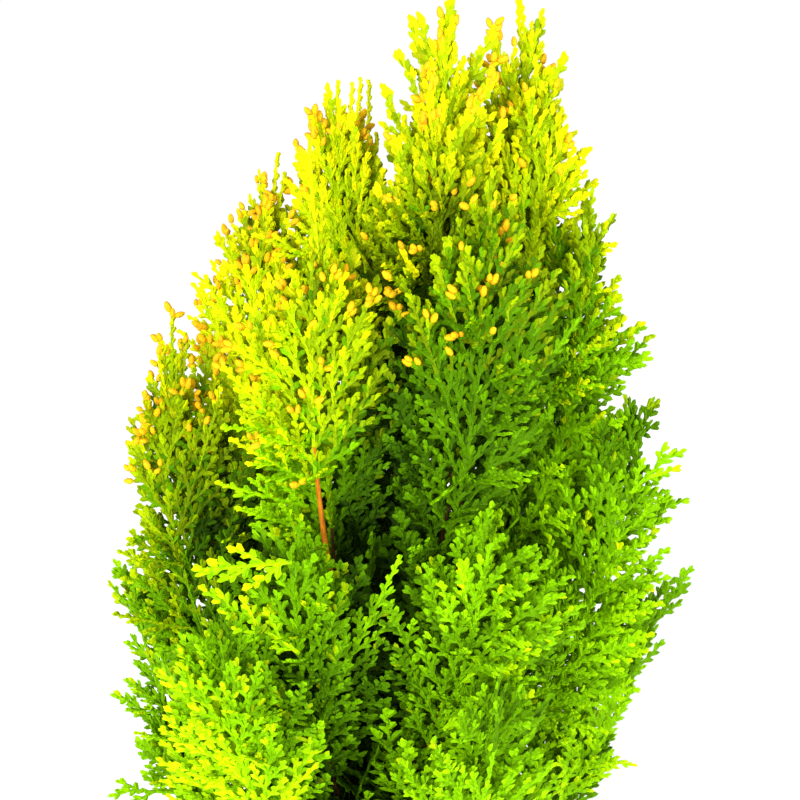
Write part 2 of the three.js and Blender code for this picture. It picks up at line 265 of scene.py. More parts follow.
LOPSIDED = {"upper_1": 0.0, "middle_2": -0.3, "middle_3": 0.3, "lower_1": -0.45, "crest_1": 0.35}
LOPSIDED_MOST = 0.3

# The plume whose second fan has a bare, woody axis: how far up it is bare, how far in front of it twigs may
# stand, and the curve and radii of that part.
BARE_STEM = "upper_1"
BARE_TO = 0.52
BARE_CLEAR = 1
BARE_SHARES = (0.06, 0.32, 0.6)
BARE_RADII = (0.95, 0.45)

# The crown's ragged outline, as waves up and round it, closer in at its upper right, and how much more
# upright growth stands near the top.
RAGGED = 2.2
RAGGED_WAVES = ((0.17, 3), (0.41, -7))
RAGGED_BELOW = 245
OUTLINE_SPARE = 2
RIGHT_TRIM = (1, 3)
TRIM_FROM = 160
TRIM_OVER = 30
CLOSER = 0.42
CLOSER_FROM = 190
CLOSER_OVER = 60

# The slender shape that each tier's plumes end in: how far it reaches from the stem is SPIRE_TIP, and below
# the top a slope and a curve are added. Some tops are lower than the stem's end, and a few are higher.
SPIRE_TOP = 9
SPIRE_TIP = 0.8
SPIRE_SLOPE = {"skirt": 0.5, "lower": 0.4, "middle": 0.3, "upper": 0.25, "crest": 0.15, "leader": 0.12}
SPIRE_CURVE = {"skirt": 0.05, "lower": 0.04, "middle": 0.03, "upper": 0.025, "crest": 0.013, "leader": 0.006}
LOWERED_TOPS = {
    "middle_1": -16,
    "middle_2": 22,
    "middle_3": 24,
    "upper_6": -6,
    "crest_1": -6,
    "leader_left": 2,
    "leader_right": 3,
}
MUCH_LOWERED = 5

# The green part of a stem, above its woody part: where it starts, how far the two overlap, and how long it
# is where the plume's top is much lowered.
GREEN_FROM = 0.3
GREEN_OVERLAP = 0.05
GREEN_OVER = 0.2
GREEN_FACES = 0.8
TOP_SPRAY_BRIGHTER = 0.06
STEM_DARKER = 0.1

# Shoots that stand up round a plume's tip. Some plumes have their own count and length of them.
SHOOTS = 6
SHOOT_LENGTH = 17
TALL_SHOOTS = {
    "middle_1": (16, 26),
    "upper_6": (12, 24),
    "crest_1": (10, 24),
    "crest_2": (8, 20),
    "leader_left": (3, 12),
    "leader_right": (4, 16),
}
SHOOTS_FROM = 0.62
SHOOT_SPREAD = 0.22
SHOOT_SCATTER = 0.5
SHOOT_RISE = 0.4
SHOOT_LENGTHS = (0.75, 1.15)
SHOOT_BRIGHTER = 0.05

# Shoots that reach out at a plume's side, past its sprays, and the plumes where they stay inside the crown.
SIDE_SHOOTS = 9
SIDE_SHOOTS_BETWEEN = (0.2, 0.8)
SIDE_SHOOT_FROM = 6
SIDE_SHOOT_LENGTH = 22
SIDE_SHOOT_LENGTHS = (0.8, 1.2)
SIDE_SHOOT_SPREAD = 0.7
SIDE_SHOOT_RISES = (0.2, 0.8)
SIDE_SHORTER = 0.88
SIDE_SHOOT_BRIGHTER = 0.08
TRIMMED_SHOOTS = ("upper_3", "crest_3", "middle_1", "lower_6")

# Slender shoots that stand up past a plume's top: where on its stem, turned how far from upright to the
# right, and how long.
WHIPS = {
    "upper_1": ((1.0, -5, 29), (0.97, 4, 20)),
    "upper_5": ((1.0, 1, 29), (0.97, 10, 19), (0.93, -8, 27)),
    "upper_6": ((0.98, 11, 21), (0.95, 18, 20)),
    "middle_1": ((1.0, 3, 25), (0.97, 14, 22), (0.94, -14, 20)),
    "crest_1": ((0.9, 8, 23), (0.86, 10, 28)),
    "leader_right": ((0.8, -11, 19), (0.72, -9, 22)),
}
WHIP_BRIGHTER = 0.1

# Single fronds in front of a plume's fan: where on its axis, turned how far from upright to the right, how
# long, how wide as a share of that, how far the frond's face turns to the side, and how much brighter.
FRONDS = {
    "skirt_6": ((0.78, -84, 17, 0.3, -0.3, 0),),
    "lower_1": ((0.6, -24, 30, 0.22, 0.3, 0.36), (0.45, 30, 26, 0.2, 0.6, 0.36)),
    "lower_3": ((0.9, 28, 18, 0.26, 0.2, 0.1),),
    "middle_2": (
        (0.3, 22, 46, 0.24, 0.6, 0.36),
        (0.33, -40, 16, 0.34, 0.4, 0.36),
        (0.57, -52, 24, 0.26, 0.3, 0.36),
        (0.8, -94, 19, 0.42, 0.2, 0.36),
    ),
    "middle_3": ((0.3, 38, 30, 0.2, -0.3, 0.36), (0.45, 52, 28, 0.2, -0.3, 0.36)),
    "middle_4": ((0.85, 40, 17, 0.34, 0.2, 0.25),),
}
FROND_FORWARD = -0.1
FROND_FOOT = 0.05
FROND_ARCH = 2
FROND_FACES_UP = 0.1

# Shaded twigs on the boughs, inside the crown, each turned by the golden angle from the last.
INNER_TWIGS = 12
INNER_FROM = 0.2
INNER_TURN = 137.5
INNER_LENGTH = 14
INNER_LENGTHS = (0.7, 1.2)
INNER_SIZES = (0.75, 0.95)
INNER_DEPTH = 10
INNER_CLEAR = 8
INNER_ALONG = 0.6
INNER_RISE = 0.5
INNER_REACH = 0.85
INNER_LIFT = 0.3
INNER_SCATTER = 0.3
INNER_ASKEW = (0.2, 0.3, 1.0)

# Pollen cones: how low and how deep in the crown they still grow, how much higher that is to the right, and
# on how many of the branches.
CONE_LOWEST = 162
CONE_SLANT = 1.6
CONE_OVER = 30
CONE_DEEPEST = 15
CONE_CHANCE = 0.15
CONES_MOST = 3
CONE_PLACE = 0.85
CONE_SCATTER = 0.35
CONE_SIZES = (0.85, 1.15)
PLUME_CONES = {
    "middle_1": 3.4,
    "middle_4": 0.2,
    "middle_5": 0.1,
    "upper_1": 1.3,
    "upper_2": 0.8,
    "upper_3": 0.2,
    "upper_6": 1.8,
}

# How a branch's colours change from its foot to its tip, and how much they vary from branch to branch and
# from leaf to leaf. Less of it is golden where it is dark.
BRANCH_SHADE_VARIES = 0.05
BRANCH_GOLD_VARIES = 0.1
STALK_DARKER = 0.04
STALK_GOLD = 0.8
GOLD_IN_DARK = 0.35
TIP_BRIGHTER = 0.24
LEAF_SHADE_VARIES = 0.04
GOLD_AT_FOOT = 0.3
GOLD_GAINED = 0.95
LEAF_GOLD_VARIES = 0.07
SHEATH_GOLD = 0.7
SHEATH_GOLD_VARIES = 0.08
SPRAY_TIP_BRIGHTER = 0.1
TIP_SHOOT_BRIGHTER = 0.05

# Painted light and shade on the foliage: painted light up the crown and to its left, where the key light
# falls, and painted shade deeper in the crown. How much lighter a plume's front is painted than its shaded
# back is the
# contrast: more on the left, less near a tip.
HEIGHT_FROM = 60
HEIGHT_OVER = 220
PAINTED_LIGHT_ABOVE = 0.16
PAINTED_LIGHT_LEFT = 0.1
PAINTED_SHADE_FROM = 12
PAINTED_SHADE_INSIDE = 0.004
FRONT_LIMITS = (-13, 9)
FRONT_MIDDLE = 4
CONTRAST = 0.018
CONTRAST_LEFT = 0.008
CONTRAST_LOST = 0.7
CONTRAST_FADES = 4
# How fast each plume's painted light and shade fades towards the top of its stem.
PLUME_PAINTED_LIGHT_FADES = 6

# How many plumes share a piece, and the sides and rings of the rods that limbs and stalks are made from.
PLUMES_A_PIECE = 4
TRUNK_ROD = (64, 220)
BOUGH_ROD = (14, 40)
STEM_ROD = (8, 12)
STALK_ROD = (3, 3)

# How far below the lowest foliage a leaf's tip may reach, and where the columns of a leaf's row are split:
# after its root, direction, facing, size and brightness.
LEAF_DROOP = 2
LEAF_COLUMNS = (3, 6, 9, 11, 12)


def linear(red, green, blue):
    """A colour given in 0 to 255 steps, as the light values that a shader takes."""
    steps = np.array((red, green, blue)) / 255
    return tuple(np.where(steps <= 0.04045, steps / 12.92, ((steps + 0.055) / 1.055) ** 2.4))


# Leaf colours: three hues, each from its darkest shade to its brightest. The steps are lit and shaded copies
# of
# each hue: the darker ones are partly painted shade and the brighter ones partly painted light, and partly
# each leaf's own tone.
GREENS = ((28, 52, 1), (46, 78, 1), (68, 108, 1), (90, 138, 1), (114, 168, 1), (142, 194, 2), (172, 214, 3))
LIMES = ((40, 56, 1), (64, 84, 1), (92, 114, 1), (120, 146, 1), (150, 176, 2), (178, 202, 3), (204, 220, 5))
GOLDS = ((54, 62, 1), (84, 92, 1), (116, 126, 1), (148, 158, 2), (180, 188, 3), (206, 208, 5), (230, 226, 10))
HUES = {"green": GREENS, "lime": LIMES, "gold": GOLDS}
SHADES = len(GREENS)


def a_length(name, description, metres):
    """A length that a user may change."""
    return bpy.props.FloatProperty(name=name, description=description, default=metres, unit="LENGTH")


def a_colour(name, description, colour):
    """A colour that a user may change."""
    return bpy.props.FloatVectorProperty(name=name, description=description, subtype="COLOR", default=colour)


class ArborvitaeSizes(bpy.types.PropertyGroup):
    """Sizes of the small parts."""

    leaf_length: a_length("Leaf length", "Length of a scale-covered branchlet", 0.0026)
    leaf_width: a_length("Leaf width", "Width of a branchlet", 0.00122)
    leaf_thickness: a_length("Leaf thickness", "Thickness of a branchlet", 0.0006)
    leaf_spacing: a_length("Leaf spacing", "Distance between branchlets", 0.00155)
    cone_length: a_length("Cone length", "Length of a pollen cone", 0.0027)
    cone_width: a_length("Cone width", "Width of a pollen cone", 0.0016)
    bark_relief: a_length("Bark relief", "Depth of the furrows in the bark", 0.0004)


class ArborvitaeColours(bpy.types.PropertyGroup):
    """Colours that a user may change."""

    bark_dark: a_colour("Dark bark", "Furrows of the bark", linear(38, 24, 12))
    bark_light: a_colour("Light bark", "Ridges of the bark", linear(84, 58, 30))
    stem: a_colour("Stem", "Young orange-brown stems", linear(196, 120, 24))
    cone: a_colour("Cone", "Pollen cones", linear(220, 168, 18))
    floor: a_colour("Floor", "The studio floor", (0.93, 0.93, 0.93))


# Growth: the frame's own rule, written again, with the same stream of numbers for each seed.
SEED_STEP = 7919
SEED_START = 104729
SEED_LIMIT = 2147483647
DRAW_STEP = 48271
TWIG_SEEDS = 31


def unit(vector):
    """Vectors of length 1 with the same directions."""
    return vector / np.linalg.norm(vector, axis=-1, keepdims=True)


def mix(start, end, share):
    """The value at a share of the way from start to end."""
    return start + (end - start) * share


def clamp(value, low=0, high=1):
    """The value, held between two limits."""
    return min(max(value, low), high)


def square_to(line, way):
    """The unit direction that is square to a line and nearest to a given way."""
    return unit(way - line * (way @ line))


def seeded(seed):
    """A repeatable stream of numbers from 0 to 1."""
    state = (seed * SEED_STEP + SEED_START) % SEED_LIMIT

    def draw():
        nonlocal state
        state = state * DRAW_STEP % SEED_LIMIT
        return state / SEED_LIMIT

    draw()
    draw()
    return draw


class Curve:
    """A curve that bends once, at its knee."""

    def __init__(self, start, knee, end):
        self.start, self.knee, self.end = (np.asarray(point, float) for point in (start, knee, end))

    def at(self, share):
        """Points at these shares of the curve."""
        share = np.asarray(share, float)[..., None]
        early = self.start * (1 - share) ** 2
        return early + self.knee * 2 * share * (1 - share) + self.end * share**2

    def heading(self, share):
        """Unit directions at these shares of the curve."""
        share = np.asarray(share, float)[..., None]
        return unit((self.knee - self.start) * (1 - share) + (self.end - self.knee) * share)

    def part(self, first, last):
        """The part of the curve between two shares, as a curve of its own."""
        knee = mix(mix(self.start, self.knee, first), mix(self.knee, self.end, first), last)
        return Curve(self.at(first), knee, self.at(last))


def crown_radius(height):
    """How far the crown reaches from its own axis at a height."""
    up = np.clip((height - WIDEST_HEIGHT) / (CROWN_TOP - WIDEST_HEIGHT), 0, 1)
    down = np.clip((WIDEST_HEIGHT - height) / (WIDEST_HEIGHT - CROWN_FOOT), 0, 1)
    above = (1 - up**UPPER_FULLNESS) ** UPPER_TAPER
    below = (1 - down**LOWER_FULLNESS) ** LOWER_TAPER
    return CROWN_RADIUS * np.where(height > WIDEST_HEIGHT, above, below)


def crown_lean(height):
    """How far the crown's axis leans to +X at a height."""
    low = LOW_LEAN * np.sin(np.pi * height / LEAN_STARTS)
    up = np.maximum(height - LEAN_STARTS, 0) / (PLANT_HEIGHT - LEAN_STARTS)
    return np.where(height < LEAN_STARTS, low, LEAN * up**LEAN_BEND)


def crown_point(azimuth, height, share):
    """A place in the crown, by azimuth, height and share of the radius there."""
    reach = crown_radius(height) * share
    turn = math.radians(azimuth)
    return np.array((crown_lean(height) + reach * math.sin(turn), -reach * math.cos(turn), height))


def trunk_point(height):
    """The middle of the trunk at a height."""
    up = np.asarray(height, float) / TRUNK_TOP
    sway = TRUNK_SWAY * np.sin(up * np.pi * TRUNK_SWAYS)
    return np.stack((TRUNK_SHIFT * up**TRUNK_BEND - sway, sway, up * TRUNK_TOP), axis=-1)


def trunk_radius(height):
    """The trunk's radius at a height, with the flare at its foot."""
    flare = FLARE_RADIUS * np.maximum(0, 1 - height / FLARE_HEIGHT) ** 2
    return mix(TRUNK_RADIUS, TRUNK_TIP_RADIUS, (height / TRUNK_TOP) ** TRUNK_TAPER) + flare


@dataclass
class Plume:
    """One mass of foliage: where its stem starts and ends, and which way its fan faces."""

    name: str
    tier: str
    holder: str
    root: float
    start: np.ndarray
    end: np.ndarray
    facing: float
    seed: int
    bends: bool = True

    def __post_init__(self):
        self.top = self.end[2] - LOWERED_TOPS.get(self.name, 0)
        knee = mix(self.start, self.end, STEM_BULGE if self.bends else 0.5)
        if self.bends:
            knee[2] = mix(self.start[2], self.end[2], STEM_RISE)
        self.stem = Curve(self.start, knee, self.end)
        self.samples = self.stem.at(np.linspace(0, 1, STEM_SAMPLES + 1))
        sweep = np.linalg.norm(trunk_point(self.root) - self.start) * BOUGH_SWEEP
        self.bough = Curve(trunk_point(self.root), self.start - self.stem.heading(0) * sweep, self.start)
        outwards = unit(np.array((self.end[0] - crown_lean(self.end[2]), self.end[1])))
        if self.tier == "leader":
            outwards = np.array((0.0, -1.0))
        self.away = outwards
        self.in_front = outwards[1] < IN_FRONT
        self.outwards = unit(outwards + np.array((0, -TURN_OUTWARDS))) if self.in_front else outwards

    def bough_radius(self, share):
        """The bough's radius at a share of its length."""
        return mix(trunk_radius(self.root) * BOUGH_SHARE, BOUGH_TIP_RADIUS, share)

    def fan(self, share):
        """Directions at a share of the stem: up along it, out of the fan, and beside in its plane."""
        up = self.stem.heading(share)
        turn = math.radians(self.facing)
        outwards = np.array((math.sin(turn), -math.cos(turn), 0))
        flat = square_to(up, outwards)
        return up, flat, np.cross(up, flat)


def plan_plumes():
    """Every plume of the crown, in the frame's order."""
    plumes = []
    for tier, (count, azimuth, root, turns, seed, start, start_share, end, end_share) in TIERS.items():
        draw = seeded(seed)
        for i in range(count):
            turned = azimuth + 360 / count * i + AZIMUTH_JITTER * (2 * draw() - 1)
            rise = HEIGHT_JITTER * (2 * draw() - 1)
            height = root + ROOT_STAGGER * (i * 3 % count)
            foot = crown_point(turned, start + rise / 2, start_share) if start else trunk_point(height)
            tip = crown_point(turned, end + rise, end_share)
            facing = turned + turns[i % len(turns)] + FACING_JITTER * (2 * draw() - 1)
            holder = "bough" if start else "trunk"
            plumes.append(Plume(f"{tier}_{i + 1}", tier, holder, height, foot, tip, facing, seed * 100 + i))
    for name, root, facing, start, end, seed in LEADERS:
        foot = np.array(start, float) if start else trunk_point(root)
        holder = "bough" if start else "tip"
        tip = np.array(end, float)
        plumes.append(Plume(name, "leader", holder, root, foot, tip, facing, seed, False))
    return plumes


PLUMES = plan_plumes()
WITH_BOUGHS = [plume for plume in PLUMES if plume.holder == "bough"]
STEM_POINTS = np.array([plume.samples for plume in PLUMES])


def limb_samples():
    """Points along the trunk and boughs, and the radius there, that foliage keeps clear of."""
    heights = np.arange(0, TRUNK_TOP + 1, TRUNK_SAMPLE_STEP)
    shares = np.linspace(0, 1, BOUGH_SAMPLES + 1)
    points = [trunk_point(heights)] + [plume.bough.at(shares) for plume in WITH_BOUGHS]
    radii = [trunk_radius(heights)] + [plume.bough_radius(shares) for plume in WITH_BOUGHS]
    return np.concatenate(points), np.concatenate(radii)


LIMB_POINTS, LIMB_RADII = limb_samples()


def in_own_space(points, index, spare=0.0):
    """True for each point in the plume's own share of the crown, clear of every limb.

    spare lets it reach on into its neighbours' shares."""
    points = np.atleast_2d(points)
    away = np.hypot(points[:, 0] - crown_lean(points[:, 2]), points[:, 1])
    inside = (points[:, 2] >= LOWEST_FOLIAGE) & (away <= crown_radius(points[:, 2]) + FRINGE)
    to_stems = np.linalg.norm(points[:, None, None] - STEM_POINTS, axis=-1).min(axis=2)
    own = to_stems[:, index].copy()
    to_stems[:, index] = np.inf
    inside &= to_stems.min(axis=1) >= own + 2 * SPACE_MARGIN - 2 * spare
    to_limbs = np.linalg.norm(points[:, None] - LIMB_POINTS, axis=-1) - LIMB_RADII
    return inside & (to_limbs.min(axis=1) > LIMB_MARGIN)


# Each half of a spray's outline, as (share of its length, share of its width).
WIDE_HALF = ((0, 0.6, 1), (0, 0.9, 0))
LONG_HALF = ((0, 0.36, 0.8, 1), (0, 0.95, 0.6, 0))
OUTLINE = np.array(((1, 0), (0.64, 0.24), (0.6, 0.9), (0.36, -0.95), (0.5, -0.28), (0.8, -0.6), (0.45, 0)))


@dataclass
class Spray:
    """A flat spray: its root, the directions along it, beside and out of its plane, and its size."""

    root: np.ndarray
    along: np.ndarray
    aside: np.ndarray
    flat: np.ndarray
    length: float
    width: float


def fit_spray(index, root, along, facing, size, turned_over, spare=0.0):
    """A spray as large as the plume's space allows, or None where even a small one would leave it."""
    flat = square_to(along, facing)
    aside = np.cross(flat, along)
    if turned_over:
        flat, aside = -flat, -aside
    start = root - along * ROOT_SUNK
    for part in TRIES:
        length = SPRAY_LENGTH * size * part
        width = SPRAY_WIDTH * size * part
        tests = start + OUTLINE[:, :1] * length * along + OUTLINE[:, 1:] * width * aside
        if in_own_space(tests, index, spare).all():
            return Spray(start, along, aside, flat, length, width)
    return None


def grow_twig(plume, share, roll, length):
    """A twig that leaves the stem at one angle and bends up towards the light, and how its spray faces."""
    place = plume.stem.at(share)
    up, flat, beside = plume.fan(share)
    aside = beside * math.cos(roll) + flat * math.sin(roll)
    leave = math.radians(mix(TWIG_ANGLE, TWIG_TOP_ANGLE, share))
    lift = leave - math.radians(TWIG_RISE)
    knee = place + (up * math.cos(leave) + aside * math.sin(leave)) * length / 2
    tip = knee + (up * math.cos(lift) + aside * math.sin(lift)) * length / 2
    return Curve(place, knee, tip), unit(np.cross(up, aside))


def plume_profile(share):
    """How long the twigs are along a plume."""
    return PROFILE_FOOT + PROFILE_SWELL * math.sin(math.pi * (PROFILE_FROM + PROFILE_OVER * share))


def twig_with_spray(index, plume, k):
    """The kth twig of a plume and the spray at its end, or None.

    Twigs past the frame's own stand between them: one set in the fan's plane and one out of it."""
    draw = seeded(plume.seed * TWIG_SEEDS + k)
    later = TWIG_SETS[k // TWIGS]
    share = mix(TWIG_FROM, TWIG_TO, (k % TWIGS + later + TWIG_PLACE + TWIG_STRAY * draw()) / TWIGS)
    turn = 0 if k % 3 == 0 else ROLL_OUT * (1 if k % 4 < 2 else -1)
    if k >= TWIGS:
        turn = 0 if k < 2 * TWIGS else 90
    roll = math.radians(k % 2 * 180 + turn + ROLL_IN * (2 * draw() - 1))
    length = TWIG_LENGTH * plume_profile(share) * (1 + LENGTH_JITTER * (2 * draw() - 1))
    size = mix(SPRAY_SIZE_LOW, SPRAY_SIZE_HIGH, share)
    spare = SPARE if k >= TWIGS else 0
    for part in TRIES:
        curve, facing = grow_twig(plume, share, roll, length * part)
        spray = fit_spray(index, curve.at(SPRAY_FROM), curve.heading(1), facing, size, k % 2 == 1, spare)
        if spray:
            return curve, spray, share
    return None


def flat_of_fan(plume, share):
    """Which way the fan's flat side faces. The fans of the front half turn partly to the front."""
    flat = plume.fan(share)[1]
    if not plume.in_front:
        return flat
    front = np.array((0, -TURN_TO_FRONT, 0))
    return unit(front + flat * (1 if flat[1] < 0 else -1))


def turned_to_fan(spray, plume, share):
    """The spray turned about its own length, towards the plane of the plume's fan."""
    fan_flat = flat_of_fan(plume, share)
    way = 1 if spray.flat @ fan_flat > 0 else -1
    flat = spray.flat + fan_flat * way * TURN_TO_FAN
    flat = square_to(spray.along, flat)
    return Spray(spray.root, spray.along, np.cross(flat, spray.along), flat, spray.length, spray.width)


def off_stem(plume, point):
    """How far a point lies from the plume's stem, level with it, in X and Y."""
    heights = plume.samples[:, 2]
    stem_x = np.interp(point[2], heights, plume.samples[:, 0])
    stem_y = np.interp(point[2], heights, plume.samples[:, 1])
    return np.array((point[0] - stem_x, point[1] - stem_y))


def inside_spire(plume, point):
    """True where a point is within the slender shape that the plume ends in."""
    below = plume.top + SPIRE_TOP - point[2]
    if below < 0:
        return False
    reach = SPIRE_TIP + SPIRE_SLOPE[plume.tier] * below + SPIRE_CURVE[plume.tier] * below**2
    return float(np.linalg.norm(off_stem(plume, point))) <= reach


def fan_reach(share):
    """How far the fan reaches from its stem."""
    inside = clamp((share - FAN_FROM) / (FAN_TO - FAN_FROM))
    return FAN_WIDTH * max(math.sin(math.pi * inside**FAN_BELLY), 0) ** FAN_FULLNESS


# Finer growth: side branches and leaves on every spray.


@dataclass
class Leafing:
    """How a branch is clad: its leaves' length, width and spacing, and their angle at its foot and tip."""

    length: float
    width: float
    spacing: float
    angle: float = LEAF_ANGLE
    top_angle: float = LEAF_TOP_ANGLE


class Growth:
    """Everything small that grows on one plume, gathered as arrays."""

    def __init__(self, plume):
        self.plume = plume
        self.bright_at = bright_rule(plume)
        self.warm_at = warm_rule(plume)
        self.random = np.random.default_rng(plume.seed)
        self.lopsided = LOPSIDED.get(plume.name, self.random.uniform(-LOPSIDED_MOST, LOPSIDED_MOST))
        self.leaves = []
        self.stalks = []
        self.cones = []

    def add_leaves(self, roots, along, face, sizes, bright, warm):
        """Leaves from arrays of roots, directions, facings, sizes as (length, width), and their colours."""
        self.leaves.append(np.column_stack((roots, along, face, sizes, bright, warm)))

    def add_stalk(self, curve, face, bright, warm):
        """A green stalk along a curve."""
        self.stalks.append((curve.start, curve.knee, curve.end, face, bright, warm))


def depth_in_crown(point):
    """How far a point lies inside the crown's outline."""
    return float(crown_radius(point[2]) - math.hypot(point[0] - crown_lean(point[2]), point[1]))


def past_outline(point):
    """True where a point is outside the ragged outline that the sprays end at."""
    turn = math.atan2(point[1], point[0] - float(crown_lean(point[2])))
    ragged = sum(math.sin(point[2] * rise + turns * turn) for rise, turns in RAGGED_WAVES)
    right = max(math.cos(turn), 0)
    high = clamp((point[2] - TRIM_FROM) / TRIM_OVER)
    allowed = OUTLINE_SPARE - right * mix(*RIGHT_TRIM, high)
    return point[2] < RAGGED_BELOW and depth_in_crown(point) < -allowed - RAGGED * ragged


def bear_cones(growth, end, along, roots, lengths):
    """Pollen cones in ones to threes at a branch's tip, on some branches high and far out in the crown."""
    random = growth.random
    lowest = CONE_LOWEST + CONE_SLANT * max(end[0], 0)
    chance = CONE_CHANCE * clamp((end[2] - lowest) / CONE_OVER) * PLUME_CONES.get(growth.plume.name, 1)
    if random.random() > chance or depth_in_crown(end) > CONE_DEEPEST:
        return
    for k in range(1, 2 + random.integers(CONES_MOST)):
        tip = roots[-k] + along[-k] * lengths[-k] * CONE_PLACE
        aim = unit(along[-k] + random.normal(0, CONE_SCATTER, 3))
        growth.cones.append((*tip, *aim, random.uniform(*CONE_SIZES)))


def upright(height):
    """How much closer to its axis growth stands at a height: 1 low down, less near the crown's top."""
    return 1 - CLOSER * clamp((height - CLOSER_FROM) / CLOSER_OVER)


def grow_branch(growth, root, aim, face, pull, length, leafing, extra=0.0):
    """A side branch from root that starts along aim and curves towards pull, with branchlets on both sides.

    extra makes it brighter than its place does."""
    random = growth.random
    rise = unit(aim * (1 - TIP_RISE) + pull * TIP_RISE)
    knee = root + aim * length * 0.5
    curve = Curve(root, knee, knee + rise * length * 0.5)
    bright = growth.bright_at(curve.end) + extra + random.normal(0, BRANCH_SHADE_VARIES)
    warmth = growth.warm_at(curve.end) * min(1, GOLD_IN_DARK + bright) + random.normal(0, BRANCH_GOLD_VARIES)
    growth.add_stalk(curve, face, bright - STALK_DARKER, warmth * STALK_GOLD)
    count = max(2, round(length / leafing.spacing))
    order = np.arange(count)
    stagger = random.uniform(-LEAF_STAGGER, LEAF_STAGGER, count)
    shares = (order + FIRST_LEAF + stagger) / (count + PAST_LEAVES)
    side = np.where((order + random.integers(2)) % 2, 1.0, -1.0)
    heading = curve.heading(shares)
    across = np.cross(face, heading)
    angle = np.radians(mix(leafing.angle, leafing.top_angle, shares))
    angle = angle * random.uniform(*ANGLES_VARY, count) * upright(root[2])
    tilt = random.normal(0, LEAF_TILT, count)
    along = heading * np.cos(angle)[:, None] + across * (side * np.sin(angle))[:, None]
    along = along + face * tilt[:, None]
    lengths = leafing.length * (LENGTH_AT_FOOT - LENGTH_LOST * shares) * random.uniform(*LENGTHS_VARY, count)
    lengths *= np.minimum(1, LEAST_AT_FOOT + shares * length / leafing.length)
    roots = np.concatenate((curve.at(shares), curve.at(np.array([TIP_LEAF_AT]))))
    along = unit(np.concatenate((along, curve.heading(np.array([1.0])))))
    lengths = np.append(lengths, leafing.length * TIP_LEAF_LENGTH)
    shares = np.append(shares, 1.0)
    faces = unit(face + random.normal(0, LEAF_SCATTER, (count + 1, 3)))
    widths = leafing.width * random.uniform(*WIDTHS_VARY, count + 1) * (WIDTH_AT_FOOT - WIDTH_LOST * shares)
    shades = bright + TIP_BRIGHTER * (shares - 0.5) + random.normal(0, LEAF_SHADE_VARIES, count + 1)
    golden = warmth * (GOLD_AT_FOOT + GOLD_GAINED * shares) + random.normal(0, LEAF_GOLD_VARIES, count + 1)
    growth.add_leaves(roots, along, faces, np.column_stack((lengths, widths)), shades, golden)
    bear_cones(growth, curve.end, along, roots, lengths)


def sheathe(growth, curve, face, leafing, extra=0.0):
    """A stalk along a curve, with leaves pressed close to it on both sides."""
    random = growth.random
    bright = growth.bright_at(curve.end) + extra
    warmth = growth.warm_at(curve.end) * min(1, GOLD_IN_DARK + bright) * SHEATH_GOLD
    growth.add_stalk(curve, face, bright, warmth)
    length = float(np.linalg.norm(curve.end - curve.start))
    count = max(2, round(length / (leafing.spacing * SHEATH_SPACING)))
    shares = (np.arange(count) + random.uniform(*SHEATH_STAGGER, count)) / count
    side = np.where(np.arange(count) % 2, 1.0, -1.0)
    heading = curve.heading(shares)
    across = unit(np.cross(face, heading))
    angle = np.radians(random.uniform(*SHEATH_ANGLES, count))
    along = heading * np.cos(angle)[:, None] + across * (side * np.sin(angle))[:, None]
    lengths = leafing.length * random.uniform(*SHEATH_LENGTHS, count)
    sizes = np.column_stack((lengths, np.full(count, leafing.width * SHEATH_WIDTH)))
    faces = unit(face + random.normal(0, SHEATH_SCATTER, (count, 3)))
    shades = bright + random.normal(0, BRANCH_SHADE_VARIES, count)
    golden = warmth + random.normal(0, SHEATH_GOLD_VARIES, count)
    growth.add_leaves(curve.at(shares), unit(along), faces, sizes, shades, golden)


